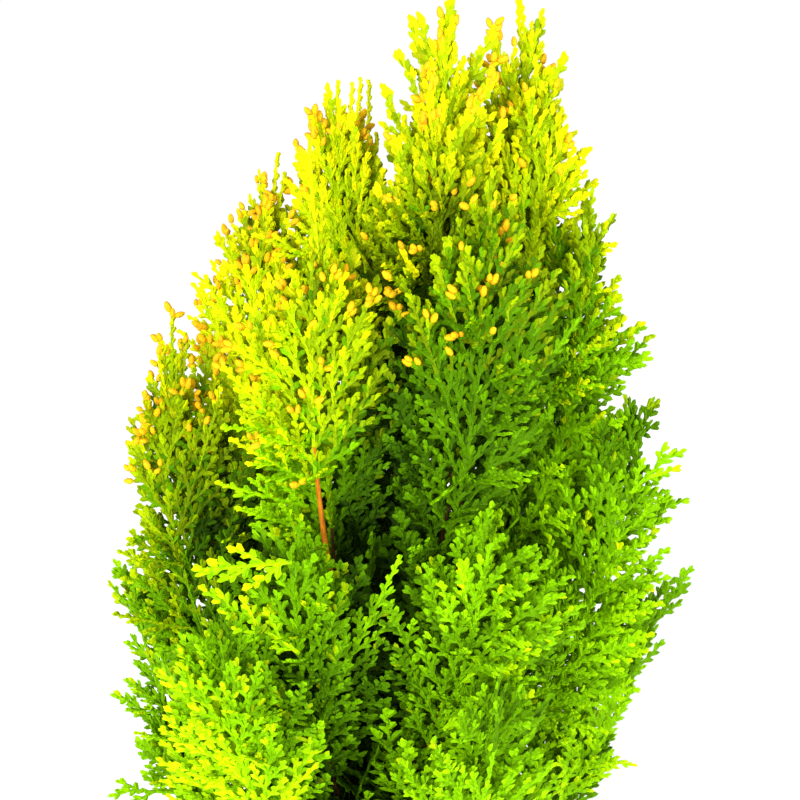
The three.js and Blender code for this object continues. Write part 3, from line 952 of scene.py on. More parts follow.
def grow_spray(growth, spray, leafing, narrow=False, extra=0.0, trim=True):
    """Side branches along a spray, as far out as its outline goes, alternately on either side.

    trim shortens the growth that would leave the crown's outline or the plume's spire."""
    random = growth.random
    bend = random.uniform(-SPRAY_BEND, SPRAY_BEND)
    while trim and spray.length > SPRAY_LEAST:
        end = spray.root + spray.along * spray.length
        if inside_spire(growth.plume, end) and not past_outline(end - spray.along * TIP_OVER):
            break
        spray.length *= SHORTER
    tip = spray.root + spray.along * spray.length + spray.flat * bend * spray.length
    middle = Curve(spray.root, spray.root + spray.along * spray.length * 0.5, tip)
    step = BRANCH_SPACING * (NARROW_STEP if narrow else 1) * leafing.spacing / USUAL_SPACING
    place = FIRST_BRANCH
    side = 1 if random.random() < 0.5 else -1
    while place < spray.length * LAST_BRANCH:
        share = place / spray.length
        stray = random.uniform(-BRANCH_JITTER, BRANCH_JITTER)
        angle = math.radians(mix(BRANCH_ANGLE, BRANCH_TOP_ANGLE, share) + stray)
        angle *= upright(spray.root[2])
        half = WIDE_HALF if side > 0 else LONG_HALF
        reaches = np.linspace(0, spray.width * SEARCH_WIDTH / math.sin(angle), SEARCH_STEPS)
        along = (place + reaches * math.cos(angle)) / spray.length
        inside = reaches * math.sin(angle) <= np.interp(along, *half) * spray.width + OUTLINE_OVER
        length = reaches[inside].max() * random.uniform(*BRANCH_LENGTHS)
        root = middle.at(share)
        heading = middle.heading(share)
        aim = heading * math.cos(angle) + np.cross(spray.flat, heading) * side * math.sin(angle)
        aim = unit(aim + spray.flat * random.normal(0, BRANCH_WOBBLE))
        while trim and length > BRANCH_LEAST and not inside_spire(growth.plume, root + aim * length):
            length *= SHORTER
        face = unit(spray.flat - aim * (spray.flat @ aim) + random.normal(0, BRANCH_WOBBLE, 3))
        length = max(length, BRANCH_LEAST)
        brighter = extra + SPRAY_TIP_BRIGHTER * (share - 0.5)
        grow_branch(growth, root, aim, face, heading, length, leafing, brighter)
        place += step * random.uniform(*STEP_VARIES)
        side = -side
    lower = middle.part(0, TIP_FROM)
    heading = middle.heading(TIP_HEADING)
    reach = spray.length * TIP_SHOOT
    while reach > BRANCH_LEAST and depth_in_crown(lower.end + heading * reach) < -FRINGE:
        reach *= TIP_SHORTER
    grow_branch(growth, lower.end, heading, spray.flat, heading, reach, leafing, extra + TIP_SHOOT_BRIGHTER)
    sheathe(growth, lower, spray.flat, leafing, extra)


def clothe_twig(growth, curve, spray, leafing):
    """Short side branches along a twig, below its spray."""
    random = growth.random
    length = float(np.linalg.norm(curve.end - curve.start)) * SPRAY_FROM
    place = TWIG_FIRST
    side = 1
    while place < length:
        share = place / length * SPRAY_FROM
        heading = curve.heading(share)
        face = square_to(heading, spray.flat)
        angle = math.radians(BRANCH_ANGLE + random.uniform(-TWIG_JITTER, TWIG_JITTER))
        aim = heading * math.cos(angle) + np.cross(face, heading) * side * math.sin(angle)
        aim = unit(aim + face * random.normal(0, TWIG_WOBBLE))
        face = square_to(aim, face)
        grow_branch(growth, curve.at(share), aim, face, heading, random.uniform(*TWIG_BRANCHES), leafing)
        place += TWIG_STEP
        side = -side
    sheathe(growth, curve.part(0, SPRAY_FROM), spray.flat, leafing)


def reach_in_plume(growth, index, root, aim, reach):
    """How far a branch from root along aim may reach, up to a length, in the plume's space and its spire."""
    while reach > BRANCH_LEAST:
        tip = root + aim * reach
        if in_own_space(tip, index, SPARE)[0] and inside_spire(growth.plume, tip) and not past_outline(tip):
            break
        reach *= SHORTER
    return reach


def fan_axis(plume, share, leave, shift):
    """A place on the axis of a plume's fan, which leaves the stem at one share and comes out in front."""
    forward = shift * clamp((share - leave) / FAN_LIFTS_OVER) * (1 - FAN_CLOSES * share**4)
    return plume.stem.at(share) + np.array((*plume.outwards, 0.0)) * forward


def fan_spray(growth, index, share, side, leave, shift):
    """The root, direction, facing and reach of one side spray of a plume's fan."""
    plume, random = growth.plume, growth.random
    up = plume.stem.heading(share)
    flat = square_to(up, flat_of_fan(plume, share))
    beside = np.cross(up, flat)
    lopsided = growth.lopsided * side
    stray = random.uniform(-FAN_JITTER, FAN_JITTER)
    angle = math.radians(mix(FAN_ANGLE, FAN_TOP_ANGLE, share) + stray + FAN_LEAN * lopsided)
    reach = fan_reach(share) * random.uniform(*FAN_REACHES) * (1 + lopsided) + FAN_OVER
    reach /= math.sin(angle)
    angle *= upright(plume.stem.at(share)[2])
    aim = up * math.cos(angle) + beside * side * math.sin(angle) + flat * random.normal(0, FAN_WOBBLE)
    aim = unit(aim)
    root = fan_axis(plume, share, leave, shift)
    return root, aim, square_to(aim, flat), reach_in_plume(growth, index, root, aim, reach)


def fan_leaves_at(growth, index, shift):
    """The share of the stem where a fan's axis leaves it: as low as there is room for a spray."""
    leave = FAN_FROM
    while leave < ROOM_UP_TO:
        if fan_spray(growth, index, leave + ROOM_AHEAD, 1, leave, shift)[3] >= SPRAY_LEAST:
            break
        leave += ROOM_STEP
    return leave


def grow_fan(growth, index, leafing, shift, narrow):
    """A flat fan of narrow sprays on both sides of an axis, up to the plume's tip."""
    plume, random = growth.plume, growth.random
    step = FAN_SPACING / float(np.linalg.norm(plume.end - plume.start))
    bare = shift > 0 and plume.name == BARE_STEM
    leave = FAN_FROM if bare else fan_leaves_at(growth, index, shift)
    share = BARE_TO if bare else leave + AXIS_LEAD
    side = 1
    while share < FAN_ENDS and fan_axis(plume, share, leave, shift)[2] < plume.top:
        root, aim, face, reach = fan_spray(growth, index, share, side, leave, shift)
        if reach > SPRAY_LEAST:
            pulled = unit(aim + plume.stem.heading(share) * FAN_PULL)
            spray = Spray(root, pulled, np.cross(face, pulled), face, reach, reach * narrow)
            grow_spray(growth, spray, leafing, True)
        elif reach > BRANCH_LEAST:
            grow_branch(growth, root, aim, face, plume.stem.heading(share), reach, leafing)
        share += step * random.uniform(*STEP_VARIES)
        side = -side
    stops = np.linspace(BARE_TO if bare else leave, share, AXIS_STOPS)
    for first, last in zip(stops, stops[1:]):
        curve = Curve(*(fan_axis(plume, at, leave, shift) for at in (first, (first + last) / 2, last)))
        sheathe(growth, curve, flat_of_fan(plume, first), leafing)


def grow_fronds(growth, leafing):
    """Long single fronds that stand out in front of a plume's fan."""
    plume = growth.plume
    for share, turn, length, width, bend, bright in FRONDS.get(plume.name, ()):
        root = fan_axis(plume, share, share - FAN_LIFTS_OVER, FAN_SHIFT[plume.tier])
        foot = plume.stem.at(share - FROND_FOOT)
        stalk = Curve(foot, (foot + root) / 2 + np.array((0, 0, FROND_ARCH)), root)
        sheathe(growth, stalk, plume.fan(share)[1], leafing)
        across = math.sin(math.radians(turn))
        aim = unit(np.array((across, FROND_FORWARD, math.cos(math.radians(turn)))))
        face = square_to(aim, unit(np.array((bend, -1.0, FROND_FACES_UP))))
        frond = Spray(root, aim, np.cross(face, aim), face, length, length * width)
        grow_spray(growth, frond, leafing, True, bright, trim=False)


def grow_shoots(growth, index, leafing):
    """Slender shoots that stand up round a plume's tip."""
    plume, random = growth.plume, growth.random
    shoots, longest = TALL_SHOOTS.get(plume.name, (SHOOTS, SHOOT_LENGTH))
    for k in range(shoots):
        share = mix(SHOOTS_FROM, 1.0, (k + random.random()) / shoots)
        up, flat, beside = plume.fan(share)
        aside = beside * (1 if k % 2 else -1) + flat * random.normal(0, SHOOT_SCATTER)
        aim = unit(up + unit(aside) * SHOOT_SPREAD + np.array((0, 0, SHOOT_RISE)))
        root = plume.stem.at(share)
        length = reach_in_plume(growth, index, root, aim, longest * random.uniform(*SHOOT_LENGTHS))
        if length > BRANCH_LEAST:
            grow_branch(growth, root, aim, square_to(aim, flat), aim, length, leafing, SHOOT_BRIGHTER)


def grow_whips(growth, leafing):
    """Slender shoots that stand up past a plume's top."""
    plume = growth.plume
    skywards = np.array((0.0, 0.0, 1.0))
    for share, turn, length in WHIPS.get(plume.name, ()):
        lean = math.radians(turn)
        aim = np.array((math.sin(lean), 0.0, math.cos(lean)))
        face = np.cross(aim, np.array((math.cos(lean), 0.0, -math.sin(lean))))
        grow_branch(growth, plume.stem.at(share), aim, -face, skywards, length, leafing, WHIP_BRIGHTER)


def grow_side_shoots(growth, leafing):
    """Slender shoots that reach out and up from a plume's stem, past its sprays."""
    plume, random = growth.plume, growth.random
    for k in range(SIDE_SHOOTS):
        share = mix(*SIDE_SHOOTS_BETWEEN, (k + random.random()) / SIDE_SHOOTS)
        up = plume.stem.heading(share)
        outwards = np.array((*(plume.away if k % 3 else plume.outwards), 0.0))
        beside = np.cross(up, outwards) * random.uniform(-SIDE_SHOOT_SPREAD, SIDE_SHOOT_SPREAD)
        aim = unit(up * random.uniform(*SIDE_SHOOT_RISES) + outwards + beside)
        root = plume.stem.at(share) + aim * SIDE_SHOOT_FROM
        length = SIDE_SHOOT_LENGTH * random.uniform(*SIDE_SHOOT_LENGTHS)
        limit = 0 if plume.name in TRIMMED_SHOOTS else -FRINGE
        while length > BRANCH_LEAST and depth_in_crown(root + aim * length) < limit:
            length *= SIDE_SHORTER
        if length > SPRAY_LEAST and inside_spire(plume, root + aim * length * 0.5):
            face = square_to(aim, flat_of_fan(plume, share))
            spray = Spray(root, aim, np.cross(face, aim), face, length, length * NARROW_SHARE)
            grow_spray(growth, spray, leafing, True, SIDE_SHOOT_BRIGHTER)


def grow_inner_spray(growth, place, up, roll, leafing):
    """A twig inside the crown with a shaded spray at its end."""
    random = growth.random
    sideways = unit(np.cross(up, np.array(INNER_ASKEW)))
    aside = sideways * math.cos(roll) + np.cross(up, sideways) * math.sin(roll)
    aim = unit(up * INNER_ALONG + aside + np.array((0, 0, INNER_RISE)))
    length = INNER_LENGTH * random.uniform(*INNER_LENGTHS)
    end = place + aim * length * INNER_REACH + np.array((0, 0, INNER_LIFT)) * length
    curve = Curve(place, place + aim * length * 0.5, end)
    if depth_in_crown(end) < INNER_DEPTH or end[2] < LOWEST_FOLIAGE + INNER_CLEAR:
        return
    along = curve.heading(1.0)
    flat = unit(np.cross(along, np.cross(aside, along) + random.normal(0, INNER_SCATTER, 3)))
    size = random.uniform(*INNER_SIZES)
    spray = Spray(end, along, np.cross(flat, along), flat, SPRAY_LENGTH * size, SPRAY_WIDTH * size)
    grow_spray(growth, spray, leafing)
    clothe_twig(growth, curve, spray, leafing)


# Patches of painted shade and painted light on the crown's front: each one's middle in X and Z, its half
# width and half height, and how much darker it is painted. Those below zero are painted light.
PAINTED_SPOTS = (
    (-7, 144, 7, 30, 0.3),
    (-1, 202, 4, 26, 0.22),
    (-24, 128, 9, 18, 0.26),
    (-43, 156, 7, 10, 0.2),
    (21, 171, 18, 16, -0.12),
    (-2, 116, 20, 12, -0.1),
)

# How bright and how golden each tier's foliage is, and how some plumes differ. A tier's brightness is partly
# its own tone and partly painted light; a plume's brightness is painted light on some plumes and painted
# shade on others.
TIER_TONE_AND_LIGHT = {"skirt": 0.5, "lower": 0.46, "middle": 0.38, "upper": 0.44, "crest": 0.6, "leader": 0.62}
PLUME_PAINTED_LIGHT_AND_SHADE = {
    "upper_1": 0.1,
    "upper_2": -0.16,
    "upper_3": 0.14,
    "upper_6": 0.5,
    "crest_1": 0.06,
    "crest_2": -0.34,
    "middle_1": -0.05,
    "middle_2": 0.1,
    "middle_3": 0.16,
    "middle_4": 0.33,
    "middle_5": 0.1,
    "lower_1": 0.37,
    "lower_2": 0.28,
    "lower_3": 0.38,
    "lower_6": 0.04,
    "skirt_1": 0.24,
    "skirt_2": 0.2,
}
PLUME_WARM = {
    "upper_1": 0.22,
    "upper_2": -0.35,
    "upper_3": -0.3,
    "upper_6": 0.4,
    "middle_1": 0.62,
    "middle_2": 0.15,
    "lower_1": 0.14,
    "lower_6": 0.15,
}
WARM_FROM = 172
WARM_OVER = 80


def painted_spot_shade(point):
    """Painted shade at a place on the crown's front, past what its height and depth give; below zero, painted
    light.
    """
    if point[1] > 0:
        return 0
    return sum(
        dark * math.exp(-(((point[0] - x) / half_width) ** 2) - ((point[2] - z) / half_height) ** 4)
        for x, z, half_width, half_height, dark in PAINTED_SPOTS
    )


def up_stem(plume, point):
    """How far up its plume's stem a point is, from 0 to 1."""
    return clamp((point[2] - plume.start[2]) / (plume.end[2] - plume.start[2]))


def bright_rule(plume):
    """A function that says how bright a plume's foliage is at a place, with painted light most at the top and
    outside.
    """
    tier, own = TIER_TONE_AND_LIGHT[plume.tier], PLUME_PAINTED_LIGHT_AND_SHADE.get(plume.name, 0)

    def bright_at(point):
        front = clamp(float(off_stem(plume, point) @ plume.outwards), *FRONT_LIMITS)
        height = (point[2] - HEIGHT_FROM) / HEIGHT_OVER
        left = -point[0] / CROWN_RADIUS
        depth = max(depth_in_crown(point) - PAINTED_SHADE_FROM, 0)
        up = up_stem(plume, point)
        # The tier's tone and painted light, and the plume's painted light and shade, which fades towards its
        # tip.
        plain = tier + own * (1 - up**PLUME_PAINTED_LIGHT_FADES)
        # Painted light up the crown and on its left.
        plain = plain + PAINTED_LIGHT_ABOVE * (height - 0.5) + PAINTED_LIGHT_LEFT * left
        # Painted light on a plume's front and painted shade on its back, less near the tip.
        contrast = CONTRAST - CONTRAST_LEFT * point[0] / CROWN_RADIUS
        turned = contrast * (front - FRONT_MIDDLE) * (1 - CONTRAST_LOST * up**CONTRAST_FADES)
        # Painted shade deep in the crown, and the painted spots.
        return plain + turned - PAINTED_SHADE_INSIDE * depth - painted_spot_shade(point)

    return bright_at


def warm_rule(plume):
    """A function that says what share of a plume's branchlets are golden at a place."""
    own = PLUME_WARM.get(plume.name, 0)

    def warm_at(point):
        return own * up_stem(plume, point) + clamp((point[2] - WARM_FROM) / WARM_OVER)

    return warm_at


def scaled(sizes, shares):
    """Each size times its own share."""
    return [size * share for size, share in zip(sizes, shares)]


def grow_twigs(growth, index, fine, coarse):
    """Twigs with sprays all round a plume's stem, but for those that would hide its fans."""
    plume = growth.plume
    for k in range(ALL_TWIGS):
        made = twig_with_spray(index, plume, k)
        if not made:
            continue
        curve, spray, share = made
        if not plume.in_front or k % 3 < 2:
            spray = turned_to_fan(spray, plume, share)
        middle = spray.root + spray.along * spray.length * SPRAY_MIDDLE
        front = off_stem(plume, middle) @ plume.outwards
        clear = BARE_CLEAR if plume.name == BARE_STEM and share < BARE_TO else FAN_CLEAR
        if curve.end[2] < plume.top and front < clear:
            leafing = coarse if front < COARSE_BEHIND and depth_in_crown(middle) > COARSE_DEPTH else fine
            grow_spray(growth, spray, leafing)
            clothe_twig(growth, curve, spray, leafing)


def grow_inside(growth, coarse):
    """Shaded sprays along a plume's bough."""
    bough = growth.plume.bough
    for k in range(INNER_TWIGS):
        share = mix(INNER_FROM, 1.0, k / INNER_TWIGS)
        roll = math.radians(k * INNER_TURN)
        grow_inner_spray(growth, bough.at(share), bough.heading(share), roll, coarse)


def grow_top(growth, index, fine):
    """The spray at the end of a plume's stem. Returns the part of the stem that is green."""
    plume = growth.plume
    whole = plume.top > plume.end[2] - MUCH_LOWERED
    up, flat, _ = plume.fan(1)
    top = fit_spray(index, plume.stem.at(TOP_SPRAY_FROM), up, flat, TOP_SPRAY_SIZE, False)
    if top and whole:
        grow_spray(growth, top, fine, extra=TOP_SPRAY_BRIGHTER)
    return plume.stem.part(GREEN_FROM, 1 if whole else GREEN_FROM + GREEN_OVER)


@lru_cache(maxsize=1)
def grow_all(leaf_length, leaf_width, spacing):
    """Every spray, leaf and cone of the crown, plume by plume."""
    sizes = (leaf_length, leaf_width, spacing)
    fine = Leafing(*sizes)
    coarse = Leafing(*scaled(sizes, COARSE))
    slim = Leafing(*scaled(sizes, SLIM), SHOOT_ANGLE, SHOOT_ANGLE)
    antler = Leafing(*scaled(sizes, ANTLER), LEAF_TOP_ANGLE, SHOOT_ANGLE)
    grown = []
    for index, plume in enumerate(PLUMES):
        growth = Growth(plume)
        grow_fan(growth, index, fine, 0, NARROW_SHARE)
        grow_fan(growth, index, fine, FAN_SHIFT[plume.tier], FAN_NARROW)
        grow_twigs(growth, index, fine, coarse)
        if plume.holder == "bough":
            grow_inside(growth, coarse)
        green = grow_top(growth, index, fine)
        grow_fronds(growth, fine)
        grow_shoots(growth, index, slim)
        grow_side_shoots(growth, antler)
        grow_whips(growth, slim)
        sheathe(growth, green, plume.fan(GREEN_FACES)[1], fine, -STEM_DARKER)
        grown.append(growth)
    return grown


# Making meshes.


def unit_rod(sides, rings):
    """A closed rod of radius 1 from z = 0 to z = 1, as arrays of vertices and triangles."""
    shape = bmesh.new()
    line = [shape.verts.new((1, 0, k / (rings - 1))) for k in range(rings)]
    edges = [shape.edges.new(pair) for pair in zip(line, line[1:])]
    bmesh.ops.spin(
        shape, geom=line + edges, cent=(0, 0, 0), axis=(0, 0, 1), angle=math.tau, steps=sides, use_merge=True
    )
    bmesh.ops.holes_fill(shape, edges=shape.edges)
    return as_arrays(shape)


LEAF_RADII = (0.54, 0.6)
LEAF_BLUNT = 0.72
CONE_SIDES = (6, 5)
CONE_NARROWS = 0.35


def unit_leaf():
    """A flat branchlet of length 1 along z and width 1 along x, with a low ridge and a blunt end."""
    shape = bmesh.new()
    foot, end = LEAF_RADII
    bmesh.ops.create_cone(shape, cap_ends=True, segments=3, radius1=foot, radius2=end, depth=LEAF_BLUNT)
    bmesh.ops.translate(shape, verts=shape.verts, vec=(0, 0, LEAF_BLUNT / 2))
    shape.normal_update()
    upper = [face for face in shape.faces if face.normal.z > 0.9]
    tip = bmesh.ops.poke(shape, faces=upper)["verts"][0]
    tip.co.z = 1.0
    return as_arrays(shape)


def unit_cone():
    """An egg-shaped pollen cone of length 1 along z and width 1."""
    shape = bmesh.new()
    around, rings = CONE_SIDES
    bmesh.ops.create_uvsphere(shape, u_segments=around, v_segments=rings, radius=0.5)
    for vert in shape.verts:
        vert.co.x *= 1 - CONE_NARROWS * vert.co.z
        vert.co.y *= 1 - CONE_NARROWS * vert.co.z
        vert.co.z += 0.5
    return as_arrays(shape)


def as_arrays(shape):
    """The vertices and triangles of a bmesh, with its faces turned outwards, as arrays. It is freed."""
    bmesh.ops.recalc_face_normals(shape, faces=shape.faces)
    bmesh.ops.triangulate(shape, faces=shape.faces)
    shape.verts.index_update()
    points = np.array([vert.co[:] for vert in shape.verts])
    triangles = np.array([[vert.index for vert in face.verts] for face in shape.faces])
    shape.free()
    return points, triangles


def scatter(template, roots, along, aside, flat, sizes):
    """Copies of a template, one for each root, as arrays: its z goes along, its x aside and its y flat."""
    points, triangles = template
    placed = roots[:, None] + points[None, :, 2, None] * (along * sizes[:, :1])[:, None]
    placed = placed + points[None, :, 0, None] * (aside * sizes[:, 1:2])[:, None]
    placed = placed + points[None, :, 1, None] * (flat * sizes[:, 2:3])[:, None]
    shift = np.arange(len(roots)) * len(points)
    return placed.reshape(-1, 3), (triangles[None] + shift[:, None, None]).reshape(-1, 3)


def bend_rods(template, starts, knees, ends, faces, radii):
    """Rods bent along curves. radii holds each one's at its start and end, in its plane and out of it."""
    points, triangles = template
    share = points[None, :, 2, None]
    starts, knees, ends = (part[:, None] for part in (starts, knees, ends))
    middle = starts * (1 - share) ** 2 + knees * 2 * share * (1 - share) + ends * share**2
    heading = unit((knees - starts) * (1 - share) + (ends - knees) * share)
    aside = unit(np.cross(faces[:, None], heading))
    flat = np.cross(heading, aside)
    wide = mix(radii[:, None, 0:1], radii[:, None, 1:2], share)
    thick = mix(radii[:, None, 2:3], radii[:, None, 3:4], share)
    placed = middle + points[None, :, 0, None] * aside * wide + points[None, :, 1, None] * flat * thick
    shift = np.arange(placed.shape[0]) * len(points)
    return placed.reshape(-1, 3), (triangles[None] + shift[:, None, None]).reshape(-1, 3)


def make_piece(name, points, triangles, materials, slots=None, smooth=True):
    """A mesh object from arrays in millimetres, with a material index for each triangle."""
    mesh = bpy.data.meshes.new(name)
    mesh.vertices.add(len(points))
    mesh.vertices.foreach_set("co", (points * METRES).astype(np.float32).ravel())
    mesh.loops.add(triangles.size)
    mesh.loops.foreach_set("vertex_index", triangles.astype(np.int32).ravel())
    mesh.polygons.add(len(triangles))
    mesh.polygons.foreach_set("loop_start", np.arange(0, triangles.size, 3, dtype=np.int32))
    for material in materials:
        mesh.materials.append(material)
    if slots is not None:
        mesh.polygons.foreach_set("material_index", slots.astype(np.int32))
    mesh.polygons.foreach_set("use_smooth", np.full(len(triangles), smooth))
    mesh.update(calc_edges=True)
    mesh.validate()
    made = bpy.data.objects.new(name, mesh)
    bpy.context.scene.collection.objects.link(made)
    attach(made, BODY)
    return made


# Materials. A finish is a roughness, how fine the pattern of the relief is, and the relief's strength and
# depth.
LEAF_FINISH = (0.55, 900, 0.9, 0.0005)
CONE_FINISH = (0.6, 1400, 0.6, 0.0004)
BARK_FINISH = (0.85, 900, 0.7, 0.0004)
BARK_STRETCH = (1, 1, 0.18)
BARK_DETAIL = 6
BARK_DARK_AT = 0.35
BARK_LIGHT_AT = 0.68
SHINE = 0.03


def new_material(name, colour, roughness):
    """A material with a plain colour and roughness, and its node tree, shader and output."""
    material = bpy.data.materials.new(name)
    material.use_nodes = True
    tree = material.node_tree
    shader = tree.nodes["Principled BSDF"]
    shader.inputs["Base Color"].default_value = (*colour, 1)
    shader.inputs["Roughness"].default_value = roughness
    shader.inputs["Specular IOR Level"].default_value = SHINE
    return material, tree, shader


def add_bump(tree, shader, height, strength, distance):
    """Relief from a height socket."""
    bump = tree.nodes.new("ShaderNodeBump")
    bump.inputs["Strength"].default_value = strength
    bump.inputs["Distance"].default_value = distance
    tree.links.new(height, bump.inputs["Height"])
    tree.links.new(bump.outputs["Normal"], shader.inputs["Normal"])


def object_pattern(tree, kind, scale, stretch=(1, 1, 1)):
    """A pattern node on the object's own coordinates, stretched along an axis."""
    place = tree.nodes.new("ShaderNodeTexCoord")
    mapping = tree.nodes.new("ShaderNodeMapping")
    mapping.inputs["Scale"].default_value = stretch
    pattern = tree.nodes.new(kind)
    pattern.inputs["Scale"].default_value = scale
    tree.links.new(place.outputs["Object"], mapping.inputs["Vector"])
    tree.links.new(mapping.outputs["Vector"], pattern.inputs["Vector"])
    return pattern


def scaly_material(name, colour, finish):
    """A plain colour with small scales in relief, for leaves and pollen cones."""
    roughness, fineness, strength, depth = finish
    material, tree, shader = new_material(name, colour, roughness)
    scales = object_pattern(tree, "ShaderNodeTexVoronoi", fineness)
    add_bump(tree, shader, scales.outputs["Distance"], strength, depth)
    return material


def bark_material(name, dark, light):
    """Fibrous bark that peels in long strips."""
    roughness, fineness, strength, depth = BARK_FINISH
    material, tree, shader = new_material(name, light, roughness)
    fibres = object_pattern(tree, "ShaderNodeTexNoise", fineness, BARK_STRETCH)
    fibres.inputs["Detail"].default_value = BARK_DETAIL
    ramp = tree.nodes.new("ShaderNodeValToRGB")
    stops = ((BARK_DARK_AT, dark), (BARK_LIGHT_AT, light))
    for element, (place, colour) in zip(ramp.color_ramp.elements, stops):
        element.position = place
        element.color = (*colour, 1)
    tree.links.new(fibres.outputs["Fac"], ramp.inputs["Fac"])
    tree.links.new(ramp.outputs["Color"], shader.inputs["Base Color"])
    add_bump(tree, shader, fibres.outputs["Fac"], strength, depth)
    return material


# Operators.


class ARBORVITAE_OT_stage(bpy.types.Operator):
    """Sets the camera, the pale floor and the soft light"""

    bl_idname = "arborvitae.stage"
    bl_label = "Set the stage"

    def execute(self, context):
        scene = context.scene
        scene.view_settings.view_transform = "Standard"
        add_camera(scene)
        add_floor(scene.arborvitae_colours.floor)
        add_lights(scene)
        return {"FINISHED"}


CAMERA_DISTANCE = 0.45
CAMERA_ELEVATION = 15
AIM_HEIGHT = 0.1865
LENS = 81
SENSOR = 36
CLIP_START = 0.01
CLIP_END = 60
FLOOR_SIZE = 24
FLOOR_ROUGHNESS = 0.9
SKY_STRENGTH = 1.08
LIT_HEIGHT = 0.15

# Where each light stands, how wide it is and how strong.
LIGHTS = {"key": ((-0.8, -1.7, 0.6), 0.5, 42), "fill": ((1.1, -1.5, 0.06), 0.6, 44)}


def add_camera(scene):
    """The camera in front of the plant, a little above it."""
    data = bpy.data.cameras.new("camera")
    data.lens = LENS
    data.sensor_width = SENSOR
    camera = bpy.data.objects.new("camera", data)
    scene.collection.objects.link(camera)
    rise = math.radians(CAMERA_ELEVATION)
    back = Vector((0, -math.cos(rise), math.sin(rise)))
    camera.location = Vector((0, 0, AIM_HEIGHT)) + back * CAMERA_DISTANCE
    camera.rotation_euler = (-back).to_track_quat("-Z", "Y").to_euler()
    data.clip_start = CLIP_START
    data.clip_end = CLIP_END
    scene.camera = camera


def add_floor(colour):
    """A wide, plain, pale floor."""
    shape = bmesh.new()
    bmesh.ops.create_grid(shape, x_segments=1, y_segments=1, size=FLOOR_SIZE / 2)
    mesh = bpy.data.meshes.new("floor")
    shape.to_mesh(mesh)
    shape.free()
    material, _, shader = new_material("floor", colour, FLOOR_ROUGHNESS)
    shader.inputs["Specular IOR Level"].default_value = 0
    mesh.materials.append(material)
    floor = bpy.data.objects.new("floor", mesh)
    bpy.context.scene.collection.objects.link(floor)


def add_light(name, place, size, power):
    """A soft square light that shines at the middle of the plant."""
    data = bpy.data.lights.new(name, "AREA")
    data.size = size
    data.energy = power
    light = bpy.data.objects.new(name, data)
    light.location = place
    aim = Vector((0, 0, LIT_HEIGHT)) - Vector(place)
    light.rotation_euler = aim.to_track_quat("-Z", "Y").to_euler()
    bpy.context.scene.collection.objects.link(light)


def add_lights(scene):
    """A large key light from the upper left, a weaker one from the right, and a white sky."""
    world = bpy.data.worlds.new("sky")
    world.use_nodes = True
    sky = world.node_tree.nodes["Background"]
    sky.inputs["Color"].default_value = (1, 1, 1, 1)
    sky.inputs["Strength"].default_value = SKY_STRENGTH
    scene.world = world
    for name, (place, size, power) in LIGHTS.items():
        add_light(name, place, size, power)


class ARBORVITAE_OT_limbs(bpy.types.Operator):
    """Covers the trunk and boughs with furrowed bark"""

    bl_idname = "arborvitae.limbs"
    bl_label = "Trunk and boughs"

    def execute(self, context):
        colours = context.scene.arborvitae_colours
        bark = bark_material("bark", colours.bark_dark, colours.bark_light)
        relief = context.scene.arborvitae_sizes.bark_relief / METRES
        points, triangles = trunk_mesh(relief)
        trunk = make_piece("trunk_bark", points, triangles, [bark])
        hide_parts("trunk")
        points, triangles = boughs_mesh(relief)
        boughs = make_piece("boughs_bark", points, triangles, [bark])
        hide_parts(*[f"bough_{plume.name}" for plume in WITH_BOUGHS])
        return {"FINISHED"}


# Bark: how much further apart the trunk's rings are higher up, how deep the furrows go on the trunk and as
# a share of a bough's radius, and a direction that no bough lies along.
TRUNK_RINGS_RISE = 1.15
TRUNK_FURROWS = 0.6
BOUGH_FURROWS = 0.35
ASKEW = (0.3, 0.2, 1.0)


def furrows(turn, along, seed):
    """Stringy bark relief from -1 to 1, round a limb and along it in millimetres.

    Strips wander from side to side on their way up the limb, and breaks cross them here and there."""
    wander = 0.9 * np.sin(along * 0.11 + seed) + 0.5 * np.sin(along * 0.29 + 2.1 * seed)
    strips = np.sin(7 * turn + wander) + 0.6 * np.sin(13 * turn - 1.4 * wander + seed)
    breaks = np.sin(along * 0.8 + 3 * np.sin(3 * turn + seed) + seed)
    return (strips + 0.5 * breaks) / 2.1


def trunk_mesh(relief):
    """The trunk with its flared foot and furrowed bark. The cut under it stays flat."""
    points, triangles = unit_rod(*TRUNK_ROD)
    height = TRUNK_TOP * points[:, 2] ** TRUNK_RINGS_RISE
    turn = np.arctan2(points[:, 1], points[:, 0])
    radius = trunk_radius(height)
    depth = TRUNK_FURROWS - TRUNK_FURROWS * furrows(turn, height, 1.0)
    radius = radius - relief * radius / TRUNK_RADIUS * depth
    middle = trunk_point(height)
    placed = middle.copy()
    placed[:, 0] += points[:, 0] * radius
    placed[:, 1] += points[:, 1] * radius
    return placed, triangles


def boughs_mesh(relief):
    """Every bough with furrowed bark, joined."""
    points, triangles = unit_rod(*BOUGH_ROD)
    every, faces = [], []
    for plume in WITH_BOUGHS:
        share = points[:, 2]
        turn = np.arctan2(points[:, 1], points[:, 0])
        heading = plume.bough.heading(share)
        aside = unit(np.cross(heading, np.array(ASKEW)))
        flat = np.cross(aside, heading)
        radius = plume.bough_radius(share)
        length = np.linalg.norm(plume.start - plume.bough.start)
        radius = radius * (1 - BOUGH_FURROWS * relief * (1 - furrows(turn, share * length, plume.seed)))
        placed = plume.bough.at(share)
        placed = placed + aside * (points[:, 0] * radius)[:, None] + flat * (points[:, 1] * radius)[:, None]
        faces.append(triangles + len(points) * len(every))
        every.append(placed)
    return np.concatenate(every), np.concatenate(faces)


